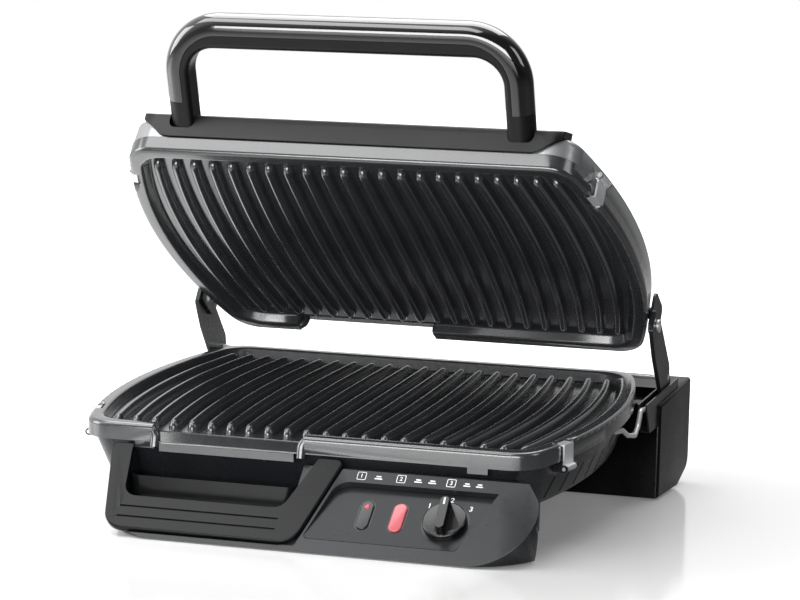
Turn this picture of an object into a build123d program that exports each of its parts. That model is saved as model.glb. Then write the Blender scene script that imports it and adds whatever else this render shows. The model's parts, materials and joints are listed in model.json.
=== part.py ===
from build123d import *
from math import asin, cos, radians, sin, sqrt, tan
import os

os.makedirs("parts", exist_ok=True)

# Stance: the cooking surface rises to the rear, the lid rests half open
BODY_DEPTH = 373.5
PLATE_TILT = 5.0
LID_OPEN = 38.0
COOK_HEIGHT = 71.1
COOK_FROM_FRONT = 168.6
RUN_GAP = 0.3
PIN_GAP = 0.05

# Ribbed plates, heights counted from the level of the rib ends
PLATE_DEPTH = 251.0
PLATE_MID_HALF = 168.5
PLATE_END_HALF = 146.0
PLATE_CORNER = 22.0
RIM_CREST = 4.0
RIM_WIDTH = 9.5
RIM_ROUND = 3.2
RIM_DRAFT = 28.0
FLOOR_DROP = 3.0
FLOOR_THICK = 4.0
FLOOR_ROUND = 2.5
FLOOR_CORNER = 16.0
RIB_COUNT = 22
RIB_SPAN = 201.0
RIB_END_HALF = 133.9
RIB_BOW = 11.5
RIB_FOOT = 7.4
RIB_FLANK = 4.2
RIB_FLANK_DRAFT = 14.0
RIB_TOP = 1.8
RIB_TOP_DRAFT = 38.0
LID_GAP = 1.5

# Pouring spout in one long edge of each plate
SPOUT_LEFT = -101.0
SPOUT_RIGHT = 0.0
SPOUT_REACH = 2.0
SPOUT_DIP = 4.0
LIP_FACE = 5.0
LIP_THICK = 3.0
LIP_END = 5.5
LIP_ROOT_GAP = 1.0
SPOUT_BEAD = 3.0
SPOUT_BEAD_RUN = 8.0
SPOUT_BEAD_HIGH = 0.8
SPOUT_BEAD_TURN = 5.0
SPOUT_BEAD_LEAN = 3.4

# Small hooks under the plate edge that find slots in the housings
HOOK_XS = (-106.5, 112.5)
HOOK_WIDE = 13.0
HOOK_THICK = 3.0
HOOK_INSET = 0.5
HOOK_DROP = 4.0
HOOK_GAP = 0.6

# Lower housing
TUB_TOP_INSET = 4.0
TUB_FOOT_INSET = 13.5
TUB_DEEP = 36.0
TUB_FOOT_CORNER = 28.0
TUB_WALL = 2.5
TUB_ROUND = 7.0
VENT_COUNT = 5
VENT_PITCH = 19.5
VENT_LONG = 15.0
VENT_WIDE = 2.0
VENT_LEAN = 24.0
VENT_FRONT = -88.0
VENT_HEIGHT = -25.0

# Heating parts, the same below and above
REFLECTOR_DROP = 26.0
REFLECTOR_INSET = 19.0
REFLECTOR_THICK = 1.0
REFLECTOR_LIP = 6.0
HEATER_RADIUS = 3.2
HEATER_HALF = 104.0
HEATER_REACH = 84.0
HEATER_SHOULDER = 56.0
HEATER_TAIL = 98.0
HEATER_BEND = 14.0
HEATER_LEG = 64.0
POST_RADIUS = 4.0
POST_ACROSS = 96.0
POST_ALONG = 70.0

# Front stand with its sloping face
SLOPE = 47.0
SLOPE_FOOT_HEIGHT = 8.0
SLOPE_TOP = 52.5
SLOPE_NOSE = -9.0
STAND_DEEP = 134.0
STAND_LEFT = 122.0
STAND_RIGHT = 156.5
STAND_CORNER = 42.0
STAND_WING_DEEP = 32.0
STAND_WAIST = 128.0
STAND_WAIST_BACK = 60.0
STAND_PLAN_CORNER = 12.0

# Control panel, knob and lamps
PANEL_LEFT = 14.0
PANEL_RIGHT_LOW = 111.5
PANEL_RIGHT_HIGH = 129.3
PANEL_LOW = 0.4
PANEL_HIGH = 43.4
PANEL_BIG_CORNER = 12.0
PANEL_SMALL_CORNER = 2.5
PANEL_SKEW = 12.5
PANEL_DIP = 4.6
PANEL_THICK = 2.0
KNOB_X = 100.2
KNOB_UP = 20.6
KNOB_RADIUS = 13.5
KNOB_THICK = 4.0
KNOB_BAR_WIDE = 7.0
KNOB_BAR_TALL = 9.0
KNOB_SHAFT = 3.0
KNOB_BAR_DRAFT = 6.0
KNOB_REST_TURN = 4.0
LENS_XS = (48.9, 70.0)
LENS_UP = 21.3
LENS_LONG = 22.0
LENS_WIDE = 8.4
LENS_THICK = 3.2
LENS_ROUND = 0.8
THERMOSTAT_WIDE = 32.0
THERMOSTAT_DEEP = 9.0
THERMOSTAT_CORNER = 4.0
KNOB_SKIRT_ROUND = 1.0

# Drip tray
TRAY_FACE = 3.8
TRAY_PROUD = 2.4
TRAY_TOP = 58.0
TRAY_LOW = -5.0
TRAY_LEFT_LOW = -114.5
TRAY_RIGHT_LOW = 10.0
TRAY_LEFT_HIGH = -128.0
TRAY_RIGHT_HIGH = 28.0
TRAY_CORNER = 14.0
TRAY_TOP_CORNER = 4.0
TRAY_EDGE_ROUND = 1.2
MOUTH_LOW = 19.0
MOUTH_LEFT_LOW = -108.0
MOUTH_RIGHT_LOW = -3.5
MOUTH_LEFT_HIGH = -114.0
MOUTH_RIGHT_HIGH = 12.5
MOUTH_CORNER = 9.0
BUCKET_LEFT = -112.0
BUCKET_RIGHT = 0.0
BUCKET_FRONT = 30.5
BUCKET_LONG = 96.0
BUCKET_HIGH = 34.0
BUCKET_REAR_HIGH = 24.0
BUCKET_SHOULDER = 20.0
BUCKET_DROP = 9.0
APRON_LONG = 14.0
APRON_INSET = 9.0
BUCKET_WALL = 2.0
BUCKET_CORNER = 9.0
LEDGE_HIGH = 21.9
TRAY_FLOOR = 3.8
GROOVE_UPS = (3.5, 11.0)
GROOVE_WIDE = 1.4
GROOVE_DEEP = 1.0

# Rear block
BLOCK_HALF = 169.0
BLOCK_DEEP = 89.5
BLOCK_FRONT_HIGH = 65.5
BLOCK_REAR_HIGH = 74.0
BLOCK_HEEL = 30.0
BLOCK_HEEL_RISE = 12.0
BLOCK_HEEL_ROUND = 12.0
BLOCK_ROUND = 2.5

# Hinge, counted from the plate centre along and square to the plate
HINGE_BACK = 144.5
HINGE_DROP = 20.0
PIN_RADIUS = 3.0
ARM_THICK = 2.8
ARM_INNER = 162.3
FLOAT_BACK = 86.0
FLOAT_DROP = 1.0
ROD_BACK = 139.0
ROD_DROP = 13.6
ROD_RADIUS = 2.0
SHEET = 1.1
CHANNEL_GAP = 0.8
CHANNEL_FRONT = 82.5
CHANNEL_REAR = 172.0
CHANNEL_TOP = -9.0
CHANNEL_FOOT = -30.0
CHANNEL_SWEEP = 19.5
CHANNEL_SLANT = 9.0
PIN_HEAD = 1.4
ARM_TOP = 6.5
ARM_HEAD = 10.0
ARM_FOOT = 8.0
ARM_ELBOW = -15.5
ARM_ROUND = 2.5
WIRE_RADIUS = 1.7
WIRE_BEND = 4.0
WIRE_OUT = 165.6
WIRE_END = 13.0
LUG_THICK = 1.8
LUG_FRONT = 79.5
LUG_REAR = 104.0
LUG_LOW = -7.5
LUG_HIGH = 22.0
LUG_ROUND = 5.0
LUG_BOSS = 6.0

# Lid cover
COVER_SIDE = 20.0
COVER_SHOULDER = 29.0
COVER_TOP = 36.5
COVER_SHOULDER_INSET = 12.0
COVER_TOP_INSET = 45.0
COVER_SHEET = 1.5
LINER_THICK = 4.0
LINER_INSET = 2.4

# Handle
HANDLE_BACK = -115.5
HANDLE_RISE = 17.0
HANDLE_ANGLE = 38.0
HANDLE_TALL = 82.0
HANDLE_HALF = 122.0
HANDLE_LEG = 17.0
HANDLE_BAR = 21.5
HANDLE_DEEP = 19.0
HANDLE_CORNER = 40.0
HANDLE_INNER_CORNER = 19.0
HANDLE_ROOT = 2.0
HANDLE_ROUND = 4.0
GRIP_SKIN = 8.5
GRIP_START = 24.0
BASE_BAR_HALF = 141.0
BASE_BAR_LOW_HALF = 125.0
BASE_BAR_PROUD = 1.5
BASE_BAR_BACK = 18.0
BASE_BAR_FACE = 22.5
BASE_BAR_CORNER = 12.0

# Spring clips that hold the plates
CLIP_BACK = 87.0
CLIP_WIDE = 11.0
CLIP_SHEET = 1.2
CLIP_REACH = 4.6
CLIP_PIVOT_OUT = 2.5
CLIP_PIVOT_DROP = 11.5
CLIP_PIN = 1.2
CLIP_NOTCH_DEEP = 2.8
CLIP_LIFT = 0.8
CLIP_STRAP_OUT = 0.7
CLIP_BARREL = 2.0
EAR_THICK = 1.6
EAR_LONG = 9.0
EAR_TALL = 4.4

FOOT_RADIUS = 8.0
FOOT_TALL = 2.0
FOOT_PROUD = 1.2
GLAND_RADIUS = 8.0
GLAND_LONG = 9.0
GLAND_BORE = 3.4
GLAND_HEIGHT = 34.0
GLAND_X = -110.0
FOOT_LEFT = -60.0

# Planes that the pieces are drawn on
front_y = -BODY_DEPTH / 2
tilt = radians(PLATE_TILT)
lid_pitch = radians(PLATE_TILT - LID_OPEN)
cook = Plane(
    origin=(0, front_y + COOK_FROM_FRONT, COOK_HEIGHT),
    x_dir=(1, 0, 0),
    z_dir=(0, -sin(tilt), cos(tilt)),
)
closed_rise = 2 * RIM_CREST + LID_GAP
swing = radians(LID_OPEN)
lever_rise = closed_rise + HINGE_DROP
lid_back = HINGE_BACK - HINGE_BACK * cos(swing) + lever_rise * sin(swing)
lid_rise = -HINGE_DROP + HINGE_BACK * sin(swing) + lever_rise * cos(swing)
lid = Plane(
    origin=cook.from_local_coords((0, lid_back, lid_rise)),
    x_dir=(1, 0, 0),
    z_dir=(0, -sin(lid_pitch), cos(lid_pitch)),
)
under_lid = Plane(origin=lid.origin, x_dir=(1, 0, 0), z_dir=-lid.z_dir)
slope = radians(SLOPE)
face = Plane(
    origin=(0, front_y - SLOPE_NOSE * cos(slope), SLOPE_FOOT_HEIGHT),
    x_dir=(1, 0, 0),
    z_dir=(0, -sin(slope), cos(slope)),
)
dip = asin(PANEL_DIP / (PANEL_HIGH - PANEL_LOW))
dash = Plane(
    origin=face.from_local_coords((0, PANEL_LOW, 0)),
    x_dir=(1, 0, 0),
    z_dir=(0, -sin(slope - dip), cos(slope - dip)),
)
handle_lean = radians(HANDLE_ANGLE)
handle = Plane(
    origin=lid.from_local_coords((0, HANDLE_BACK, HANDLE_RISE)),
    x_dir=(1, 0, 0),
    z_dir=lid.y_dir * -sin(handle_lean) + lid.z_dir * -cos(handle_lean),
)

side_radius = ((PLATE_DEPTH / 2) ** 2 + (PLATE_MID_HALF - PLATE_END_HALF) ** 2) / (
    2 * (PLATE_MID_HALF - PLATE_END_HALF)
)


def half_width(back):
    """Half width of the plate outline at a distance behind its centre."""
    return PLATE_MID_HALF - side_radius + sqrt(side_radius**2 - back**2)


def outline(plane, inset, corner):
    """Plate outline drawn inset from its edge: straight ends, bowed sides."""
    end = PLATE_DEPTH / 2 - inset
    side = half_width(end) - inset
    mid = PLATE_MID_HALF - inset
    with BuildSketch(plane) as sketch:
        with BuildLine():
            Line((-side, -end), (side, -end))
            ThreePointArc((side, -end), (mid, 0), (side, end))
            Line((side, end), (-side, end))
            ThreePointArc((-side, end), (-mid, 0), (-side, -end))
        make_face()
        fillet(sketch.vertices(), corner)
    return sketch.sketch


def side_plane(plane, across=0):
    """Section plane across X, with x running to the rear of the given plane."""
    return Plane(
        origin=plane.from_local_coords((across, 0, 0)), x_dir=plane.y_dir, z_dir=plane.x_dir
    )


def clip_plane(plane, side, back):
    """Section plane square to the bowed edge, x pointing out of the plate."""
    out_x = side * sqrt(side_radius**2 - back**2) / side_radius
    out_y = back / side_radius
    out = plane.x_dir * out_x + plane.y_dir * out_y
    edge = plane.from_local_coords((side * half_width(back), back, 0))
    return Plane(origin=edge, x_dir=out, z_dir=out.cross(plane.z_dir))


def finish(part, name):
    part.label = name
    export_step(part, f"parts/{name}.step")


# Cast plates: the same casting twice, the upper one turned over
floor_edge = RIM_WIDTH + (FLOOR_DROP + RIM_CREST) * tan(radians(RIM_DRAFT))
skirt = FLOOR_DROP + FLOOR_THICK
front_edge = -PLATE_DEPTH / 2
lip_tip = front_edge - SPOUT_REACH
lip_top = -FLOOR_DROP - SPOUT_DIP
hook_back = PLATE_DEPTH / 2 - HOOK_INSET - HOOK_THICK / 2
for name, plane, handle_side in (("lower_plate", cook, -1), ("upper_plate", under_lid, 1)):
    rise = Axis(plane.origin, plane.z_dir)
    with BuildPart() as plate:
        extrude(outline(plane.offset(-skirt), 0, PLATE_CORNER), amount=skirt + RIM_CREST)
        extrude(
            outline(plane.offset(-FLOOR_DROP), floor_edge, FLOOR_CORNER),
            amount=FLOOR_DROP + RIM_CREST,
            taper=-RIM_DRAFT,
            mode=Mode.SUBTRACT,
        )
        fillet(plate.edges().group_by(rise)[-1], RIM_ROUND)
        on_floor = (rise, -FLOOR_DROP - RUN_GAP, -FLOOR_DROP + RUN_GAP)
        fillet(plate.edges().filter_by_position(*on_floor), FLOOR_ROUND)
        # Spout: a lip below the edge, then the rim cut away along the pouring slope
        with BuildSketch(side_plane(plane, SPOUT_LEFT + LIP_END)) as lip:
            with BuildLine():
                Polyline(
                    (front_edge + RIM_WIDTH, -skirt),
                    (front_edge + RIM_WIDTH, lip_top + 1),
                    (lip_tip, lip_top),
                    (lip_tip, lip_top - LIP_FACE),
                    (lip_tip + LIP_THICK, lip_top - LIP_FACE),
                    (front_edge + TUB_TOP_INSET - LIP_ROOT_GAP, -skirt),
                    close=True,
                )
            make_face()
        extrude(amount=SPOUT_RIGHT - SPOUT_LEFT - 2 * LIP_END)
        with BuildSketch(side_plane(plane, SPOUT_LEFT)) as pour:
            with BuildLine():
                Polyline(
                    (front_edge + floor_edge, -FLOOR_DROP),
                    (lip_tip - 1, lip_top),
                    (lip_tip - 1, RIM_CREST + 1),
                    (front_edge + floor_edge, RIM_CREST + 1),
                    close=True,
                )
            make_face()
        extrude(amount=SPOUT_RIGHT - SPOUT_LEFT, mode=Mode.SUBTRACT)
        # Rolled beads that lead the rim down to both ends of the lip
        for end, inward in ((SPOUT_LEFT, 1), (SPOUT_RIGHT, -1)):
            bead_back = front_edge + SPOUT_BEAD + 0.2
            turn = (end + inward * SPOUT_BEAD / 2, bead_back, SPOUT_BEAD_HIGH)
            with BuildLine(plane) as roll:
                FilletPolyline(
                    (end - inward * SPOUT_BEAD_RUN, bead_back, SPOUT_BEAD_HIGH),
                    turn,
                    (end + inward * SPOUT_BEAD / 2, bead_back - SPOUT_BEAD_LEAN, lip_top - LIP_THICK),
                    radius=SPOUT_BEAD_TURN,
                )
            with BuildSketch(Plane(origin=roll.line @ 0, z_dir=plane.x_dir * inward)) as bead:
                Circle(SPOUT_BEAD)
            sweep(path=roll.line)
        # Ribs: bowed slots with drafted flanks and a narrower crest
        for step in range(RIB_COUNT):
            share = -1 + 2 * step / (RIB_COUNT - 1)
            bowed = Edge.make_three_point_arc(
                (share * RIB_END_HALF, -RIB_SPAN / 2),
                (share * (RIB_END_HALF + RIB_BOW) + 0.001, 0),
                (share * RIB_END_HALF, RIB_SPAN / 2),
            )
            with BuildSketch(plane.offset(-FLOOR_DROP)) as foot:
                SlotArc(bowed, RIB_FOOT)
            extrude(amount=RIB_FLANK, taper=RIB_FLANK_DRAFT)
            crest_wide = RIB_FOOT - 2 * RIB_FLANK * tan(radians(RIB_FLANK_DRAFT))
            with BuildSketch(plane.offset(RIB_FLANK - FLOOR_DROP)) as crest:
                SlotArc(bowed, crest_wide)
            extrude(amount=RIB_TOP, taper=RIB_TOP_DRAFT)
        # Notches where the clips reach over the rim
        for side in (-1, 1):
            with BuildSketch(clip_plane(plane, side, handle_side * CLIP_BACK)) as notch:
                with Locations((-CLIP_REACH / 2, RIM_CREST)):
                    Rectangle(CLIP_REACH + 4, 2 * CLIP_NOTCH_DEEP)
            extrude(amount=CLIP_WIDE / 2 + 1.5, both=True, mode=Mode.SUBTRACT)
        # Locating hooks under the edge on the handle side
        for hook_x in HOOK_XS:
            with BuildSketch(plane.offset(-skirt)) as hook:
                with Locations((hook_x, handle_side * hook_back)):
                    Rectangle(HOOK_WIDE, HOOK_THICK)
            extrude(amount=-HOOK_DROP)
    finish(plate.part, name)


# Bent wire stays that run from the hinge channels into the tub sides
channel_mid = ARM_INNER + ARM_THICK / 2
stays = []
for side, hand in ((-1, "left"), (1, "right")):
    with BuildPart() as stay:
        with BuildLine(cook) as stay_path:
            FilletPolyline(
                (side * (channel_mid + 0.4), CHANNEL_FRONT + 9, -13.6),
                (side * (channel_mid + 0.4), 76, -11.6),
                (side * (channel_mid + 0.8), 67, -20.5),
                (side * (WIRE_OUT + 0.2), 53, -23.2),
                (side * WIRE_OUT, 36, -19.2),
                (side * WIRE_OUT, 22, -12.8),
                (side * (half_width(WIRE_END) - TUB_TOP_INSET - TUB_WALL), WIRE_END, -12.2),
                radius=WIRE_BEND,
            )
        with BuildSketch(Plane(origin=stay_path.line @ 0, z_dir=stay_path.line % 0)):
            Circle(WIRE_RADIUS)
        sweep(path=stay_path.line)
    finish(stay.part, f"wire_stay_{hand}")
    stays.append(stay.part)

# Lower housing: a tub that follows the plate outline, cut flat at the rear block
block_front = BODY_DEPTH / 2 - BLOCK_DEEP
tub_rim = -skirt - RUN_GAP
rear_wall = Plane(origin=(0, block_front - RUN_GAP, 0), x_dir=(1, 0, 0), z_dir=(0, 1, 0))
with BuildPart() as tub_hollow:
    loft(
        [
            outline(cook.offset(tub_rim + 1), TUB_TOP_INSET + TUB_WALL, PLATE_CORNER),
            outline(cook.offset(TUB_WALL - TUB_DEEP), TUB_FOOT_INSET + TUB_WALL, TUB_FOOT_CORNER),
        ]
    )
    split(bisect_by=rear_wall.offset(-TUB_WALL), keep=Keep.BOTTOM)
with BuildPart() as lower_tub:
    loft(
        [
            outline(cook.offset(tub_rim), TUB_TOP_INSET, PLATE_CORNER),
            outline(cook.offset(-TUB_DEEP), TUB_FOOT_INSET, TUB_FOOT_CORNER),
        ]
    )
    fillet(lower_tub.edges().group_by(Axis(cook.origin, cook.z_dir))[0], TUB_ROUND)
    split(bisect_by=rear_wall, keep=Keep.BOTTOM)
    add(tub_hollow.part, mode=Mode.SUBTRACT)
    # Slanted vent slits through both side walls
    for slit in range(VENT_COUNT):
        with BuildSketch(side_plane(cook)) as vent:
            with Locations((VENT_FRONT + slit * VENT_PITCH, VENT_HEIGHT)):
                SlotOverall(VENT_LONG, VENT_WIDE, rotation=90 - VENT_LEAN)
        extrude(amount=PLATE_MID_HALF, both=True, mode=Mode.SUBTRACT)
    # Posts that carry the reflector
    for post_x in (-POST_ACROSS, POST_ACROSS):
        for post_y in (-POST_ALONG, POST_ALONG):
            with BuildSketch(cook.offset(-TUB_DEEP + TUB_WALL / 2)) as post:
                with Locations((post_x, post_y)):
                    Circle(POST_RADIUS)
            extrude(amount=TUB_DEEP - TUB_WALL / 2 - REFLECTOR_DROP - REFLECTOR_THICK)
    # Ears for the clip pins
    for side in (-1, 1):
        for ear_at in (-1, 1):
            ear_plane = clip_plane(cook, side, -CLIP_BACK)
            ear_shift = ear_at * (CLIP_WIDE / 2 + RUN_GAP + EAR_THICK / 2)
            with BuildSketch(ear_plane.offset(ear_shift)) as ear:
                with Locations((CLIP_PIVOT_OUT - EAR_LONG / 2, -CLIP_PIVOT_DROP)):
                    Rectangle(EAR_LONG, EAR_TALL)
                with Locations((CLIP_PIVOT_OUT, -CLIP_PIVOT_DROP)):
                    Circle(EAR_TALL / 2)
                    Circle(CLIP_PIN + PIN_GAP, mode=Mode.SUBTRACT)
            extrude(amount=EAR_THICK / 2, both=True)
    add(stays, mode=Mode.SUBTRACT)
finish(lower_tub.part, "lower_tub")


# Heating set: a dished reflector and a bent tube heater, one below and one above
for level, plane in (("lower", cook), ("upper", under_lid)):
    with BuildPart() as reflector:
        under = plane.offset(-REFLECTOR_DROP - REFLECTOR_THICK)
        extrude(outline(under, REFLECTOR_INSET, PLATE_CORNER), amount=REFLECTOR_LIP)
        inner = REFLECTOR_INSET + REFLECTOR_THICK
        extrude(
            outline(plane.offset(-REFLECTOR_DROP), inner, PLATE_CORNER - REFLECTOR_THICK),
            amount=REFLECTOR_LIP,
            mode=Mode.SUBTRACT,
        )
    finish(reflector.part, f"{level}_reflector")
    heater_plane = plane.offset(tub_rim - HEATER_RADIUS)
    with BuildPart() as heater:
        with BuildLine(heater_plane) as heater_path:
            FilletPolyline(
                (-HEATER_LEG / 2, HEATER_TAIL),
                (-HEATER_LEG / 2, HEATER_SHOULDER),
                (-HEATER_HALF, HEATER_SHOULDER),
                (-HEATER_HALF, -HEATER_REACH),
                (HEATER_HALF, -HEATER_REACH),
                (HEATER_HALF, HEATER_SHOULDER),
                (HEATER_LEG / 2, HEATER_SHOULDER),
                (HEATER_LEG / 2, HEATER_TAIL),
                radius=HEATER_BEND,
            )
        with BuildSketch(Plane(origin=heater_path.line @ 0, z_dir=-plane.y_dir)):
            Circle(HEATER_RADIUS)
        sweep(path=heater_path.line)
    finish(heater.part, f"{level}_heater")

# Shape of the space that the tub takes out of the stand
with BuildPart() as tub_space:
    loft(
        [
            outline(cook.offset(tub_rim), TUB_TOP_INSET - RUN_GAP, PLATE_CORNER),
            outline(cook.offset(-TUB_DEEP - RUN_GAP), TUB_FOOT_INSET - RUN_GAP, TUB_FOOT_CORNER),
        ]
    )

# Drip tray: a sloping face with two grooves and a bucket behind it
bucket_front = front_y + BUCKET_FRONT
bucket_rear = bucket_front + BUCKET_LONG
with BuildPart() as drip_tray:
    with BuildSketch(face.offset(TRAY_PROUD)) as tray_face:
        with BuildLine():
            Polyline(
                (TRAY_LEFT_LOW, TRAY_LOW),
                (TRAY_RIGHT_LOW, TRAY_LOW),
                (TRAY_RIGHT_HIGH, TRAY_TOP),
                (TRAY_LEFT_HIGH, TRAY_TOP),
                close=True,
            )
        make_face()
        fillet(tray_face.vertices().group_by(Axis.Y)[0], TRAY_CORNER)
        fillet(tray_face.vertices().group_by(Axis.Y)[-1], TRAY_TOP_CORNER)
    extrude(amount=-TRAY_FACE)
    top_rim = drip_tray.faces().sort_by(Axis(face.origin, face.z_dir))[-1].edges()
    fillet(top_rim, TRAY_EDGE_ROUND)
    with BuildSketch(face.offset(TRAY_PROUD)) as mouth:
        with BuildLine():
            Polyline(
                (MOUTH_LEFT_LOW, MOUTH_LOW),
                (MOUTH_RIGHT_LOW, MOUTH_LOW),
                (MOUTH_RIGHT_HIGH, TRAY_TOP + TRAY_FACE),
                (MOUTH_LEFT_HIGH, TRAY_TOP + TRAY_FACE),
                close=True,
            )
        make_face()
        fillet(mouth.vertices().group_by(Axis.Y)[0], MOUTH_CORNER)
    extrude(amount=-TRAY_FACE, mode=Mode.SUBTRACT)
    for groove_up in GROOVE_UPS:
        with BuildSketch(face.offset(TRAY_PROUD)) as groove:
            with Locations(((MOUTH_LEFT_LOW + MOUTH_RIGHT_LOW) / 2, groove_up)):
                SlotOverall(MOUTH_RIGHT_LOW - MOUTH_LEFT_LOW, GROOVE_WIDE)
        extrude(amount=-GROOVE_DEEP, mode=Mode.SUBTRACT)
    # Bucket in plan, then its side profile, then the hollow
    bucket_mid = ((BUCKET_LEFT + BUCKET_RIGHT) / 2, (bucket_front + bucket_rear) / 2)
    with BuildSketch(Plane.XY.offset(TRAY_FLOOR)) as bucket:
        with Locations(bucket_mid):
            RectangleRounded(BUCKET_RIGHT - BUCKET_LEFT, BUCKET_LONG, BUCKET_CORNER)
    extrude(amount=BUCKET_HIGH - TRAY_FLOOR)
    with BuildSketch(Plane.XY.offset(TRAY_FLOOR)) as apron:
        with Locations((bucket_mid[0], bucket_front - APRON_LONG / 2 + BUCKET_CORNER / 2)):
            Rectangle(BUCKET_RIGHT - BUCKET_LEFT - 2 * APRON_INSET, APRON_LONG + BUCKET_CORNER)
    extrude(amount=LEDGE_HIGH - TRAY_FLOOR)
    with BuildSketch(Plane.XY.offset(TRAY_FLOOR + BUCKET_WALL)) as bucket_inside:
        with Locations(bucket_mid):
            RectangleRounded(
                BUCKET_RIGHT - BUCKET_LEFT - 2 * BUCKET_WALL,
                BUCKET_LONG - 2 * BUCKET_WALL,
                BUCKET_CORNER - BUCKET_WALL,
            )
    extrude(amount=BUCKET_HIGH, mode=Mode.SUBTRACT)
    with BuildSketch(Plane.YZ) as low_rear:
        with BuildLine():
            Polyline(
                (bucket_front + BUCKET_SHOULDER, BUCKET_HIGH + 1),
                (bucket_front + BUCKET_SHOULDER, BUCKET_HIGH),
                (bucket_front + BUCKET_SHOULDER + BUCKET_DROP, BUCKET_REAR_HIGH),
                (bucket_rear + 1, BUCKET_REAR_HIGH),
                (bucket_rear + 1, BUCKET_HIGH + 1),
                close=True,
            )
        make_face()
    extrude(amount=PLATE_MID_HALF, both=True, mode=Mode.SUBTRACT)
    # The apron ends at the back of the sloping face
    with BuildSketch(side_plane(face)) as ahead:
        with BuildLine():
            Polyline(
                (-TRAY_TOP, TRAY_PROUD),
                (MOUTH_LOW, TRAY_PROUD),
                (MOUTH_LOW, TRAY_PROUD + TRAY_TOP),
                (-TRAY_TOP, TRAY_PROUD + TRAY_TOP),
                close=True,
            )
        make_face()
    extrude(amount=PLATE_MID_HALF, both=True, mode=Mode.SUBTRACT)
finish(drip_tray.part, "drip_tray")

# Control panel set into the stand, with holes for the lamps and the knob
with BuildPart() as control_panel:
    with BuildSketch(dash) as panel_face:
        with BuildLine():
            Polyline(
                (PANEL_LEFT + RUN_GAP, RUN_GAP),
                (PANEL_RIGHT_LOW - RUN_GAP, RUN_GAP),
                (PANEL_RIGHT_HIGH - RUN_GAP, PANEL_HIGH - PANEL_LOW - RUN_GAP),
                (PANEL_LEFT + PANEL_SKEW + RUN_GAP, PANEL_HIGH - PANEL_LOW - RUN_GAP),
                close=True,
            )
        make_face()
        corners = panel_face.vertices()
        left_high = corners.group_by(Axis.Y)[-1].sort_by(Axis.X)[0]
        fillet(left_high, PANEL_BIG_CORNER)
        fillet(panel_face.vertices().sort_by(Axis.Y)[:2], PANEL_SMALL_CORNER)
        with Locations((KNOB_X, KNOB_UP)):
            Circle(KNOB_SHAFT + PIN_GAP, mode=Mode.SUBTRACT)
        for lens_x in LENS_XS:
            with Locations((lens_x, LENS_UP)):
                SlotOverall(LENS_LONG, LENS_WIDE, rotation=90, mode=Mode.SUBTRACT)
    extrude(amount=-PANEL_THICK)
finish(control_panel.part, "control_panel")
for lens_name, lens_x in zip(("power_lamp", "ready_lamp"), LENS_XS):
    with BuildPart() as lens:
        with BuildSketch(dash.offset(-PANEL_THICK)) as lens_outline:
            with Locations((lens_x, LENS_UP)):
                SlotOverall(LENS_LONG - PIN_GAP, LENS_WIDE - PIN_GAP, rotation=90)
        extrude(amount=LENS_THICK)
        fillet(lens.edges().group_by(Axis(dash.origin, dash.z_dir))[-1], LENS_ROUND)
    finish(lens.part, lens_name)
with BuildPart() as thermostat:
    with BuildSketch(dash.offset(-PANEL_THICK)) as thermostat_case:
        with Locations((KNOB_X, KNOB_UP)):
            RectangleRounded(THERMOSTAT_WIDE, THERMOSTAT_WIDE, THERMOSTAT_CORNER)
            Circle(KNOB_SHAFT + PIN_GAP, mode=Mode.SUBTRACT)
    extrude(amount=-THERMOSTAT_DEEP)
finish(thermostat.part, "thermostat")

# Rotary knob: skirt, grip bar and shaft
with BuildPart() as thermostat_knob:
    with BuildSketch(dash.offset(RUN_GAP)) as knob_disc:
        with Locations((KNOB_X, KNOB_UP)):
            Circle(KNOB_RADIUS)
    extrude(amount=KNOB_THICK)
    fillet(thermostat_knob.edges().group_by(Axis(dash.origin, dash.z_dir))[-1], KNOB_SKIRT_ROUND)
    with BuildSketch(dash.offset(RUN_GAP + KNOB_THICK / 2)) as knob_bar:
        with Locations((KNOB_X, KNOB_UP)):
            SlotOverall(2 * KNOB_RADIUS - 1, KNOB_BAR_WIDE, rotation=90 + KNOB_REST_TURN)
    extrude(amount=KNOB_BAR_TALL, taper=KNOB_BAR_DRAFT)
    with BuildSketch(dash.offset(RUN_GAP)) as knob_shaft:
        with Locations((KNOB_X, KNOB_UP)):
            Circle(KNOB_SHAFT)
    extrude(amount=-RUN_GAP - PANEL_THICK - THERMOSTAT_DEEP / 2)
finish(thermostat_knob.part, "thermostat_knob")

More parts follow.
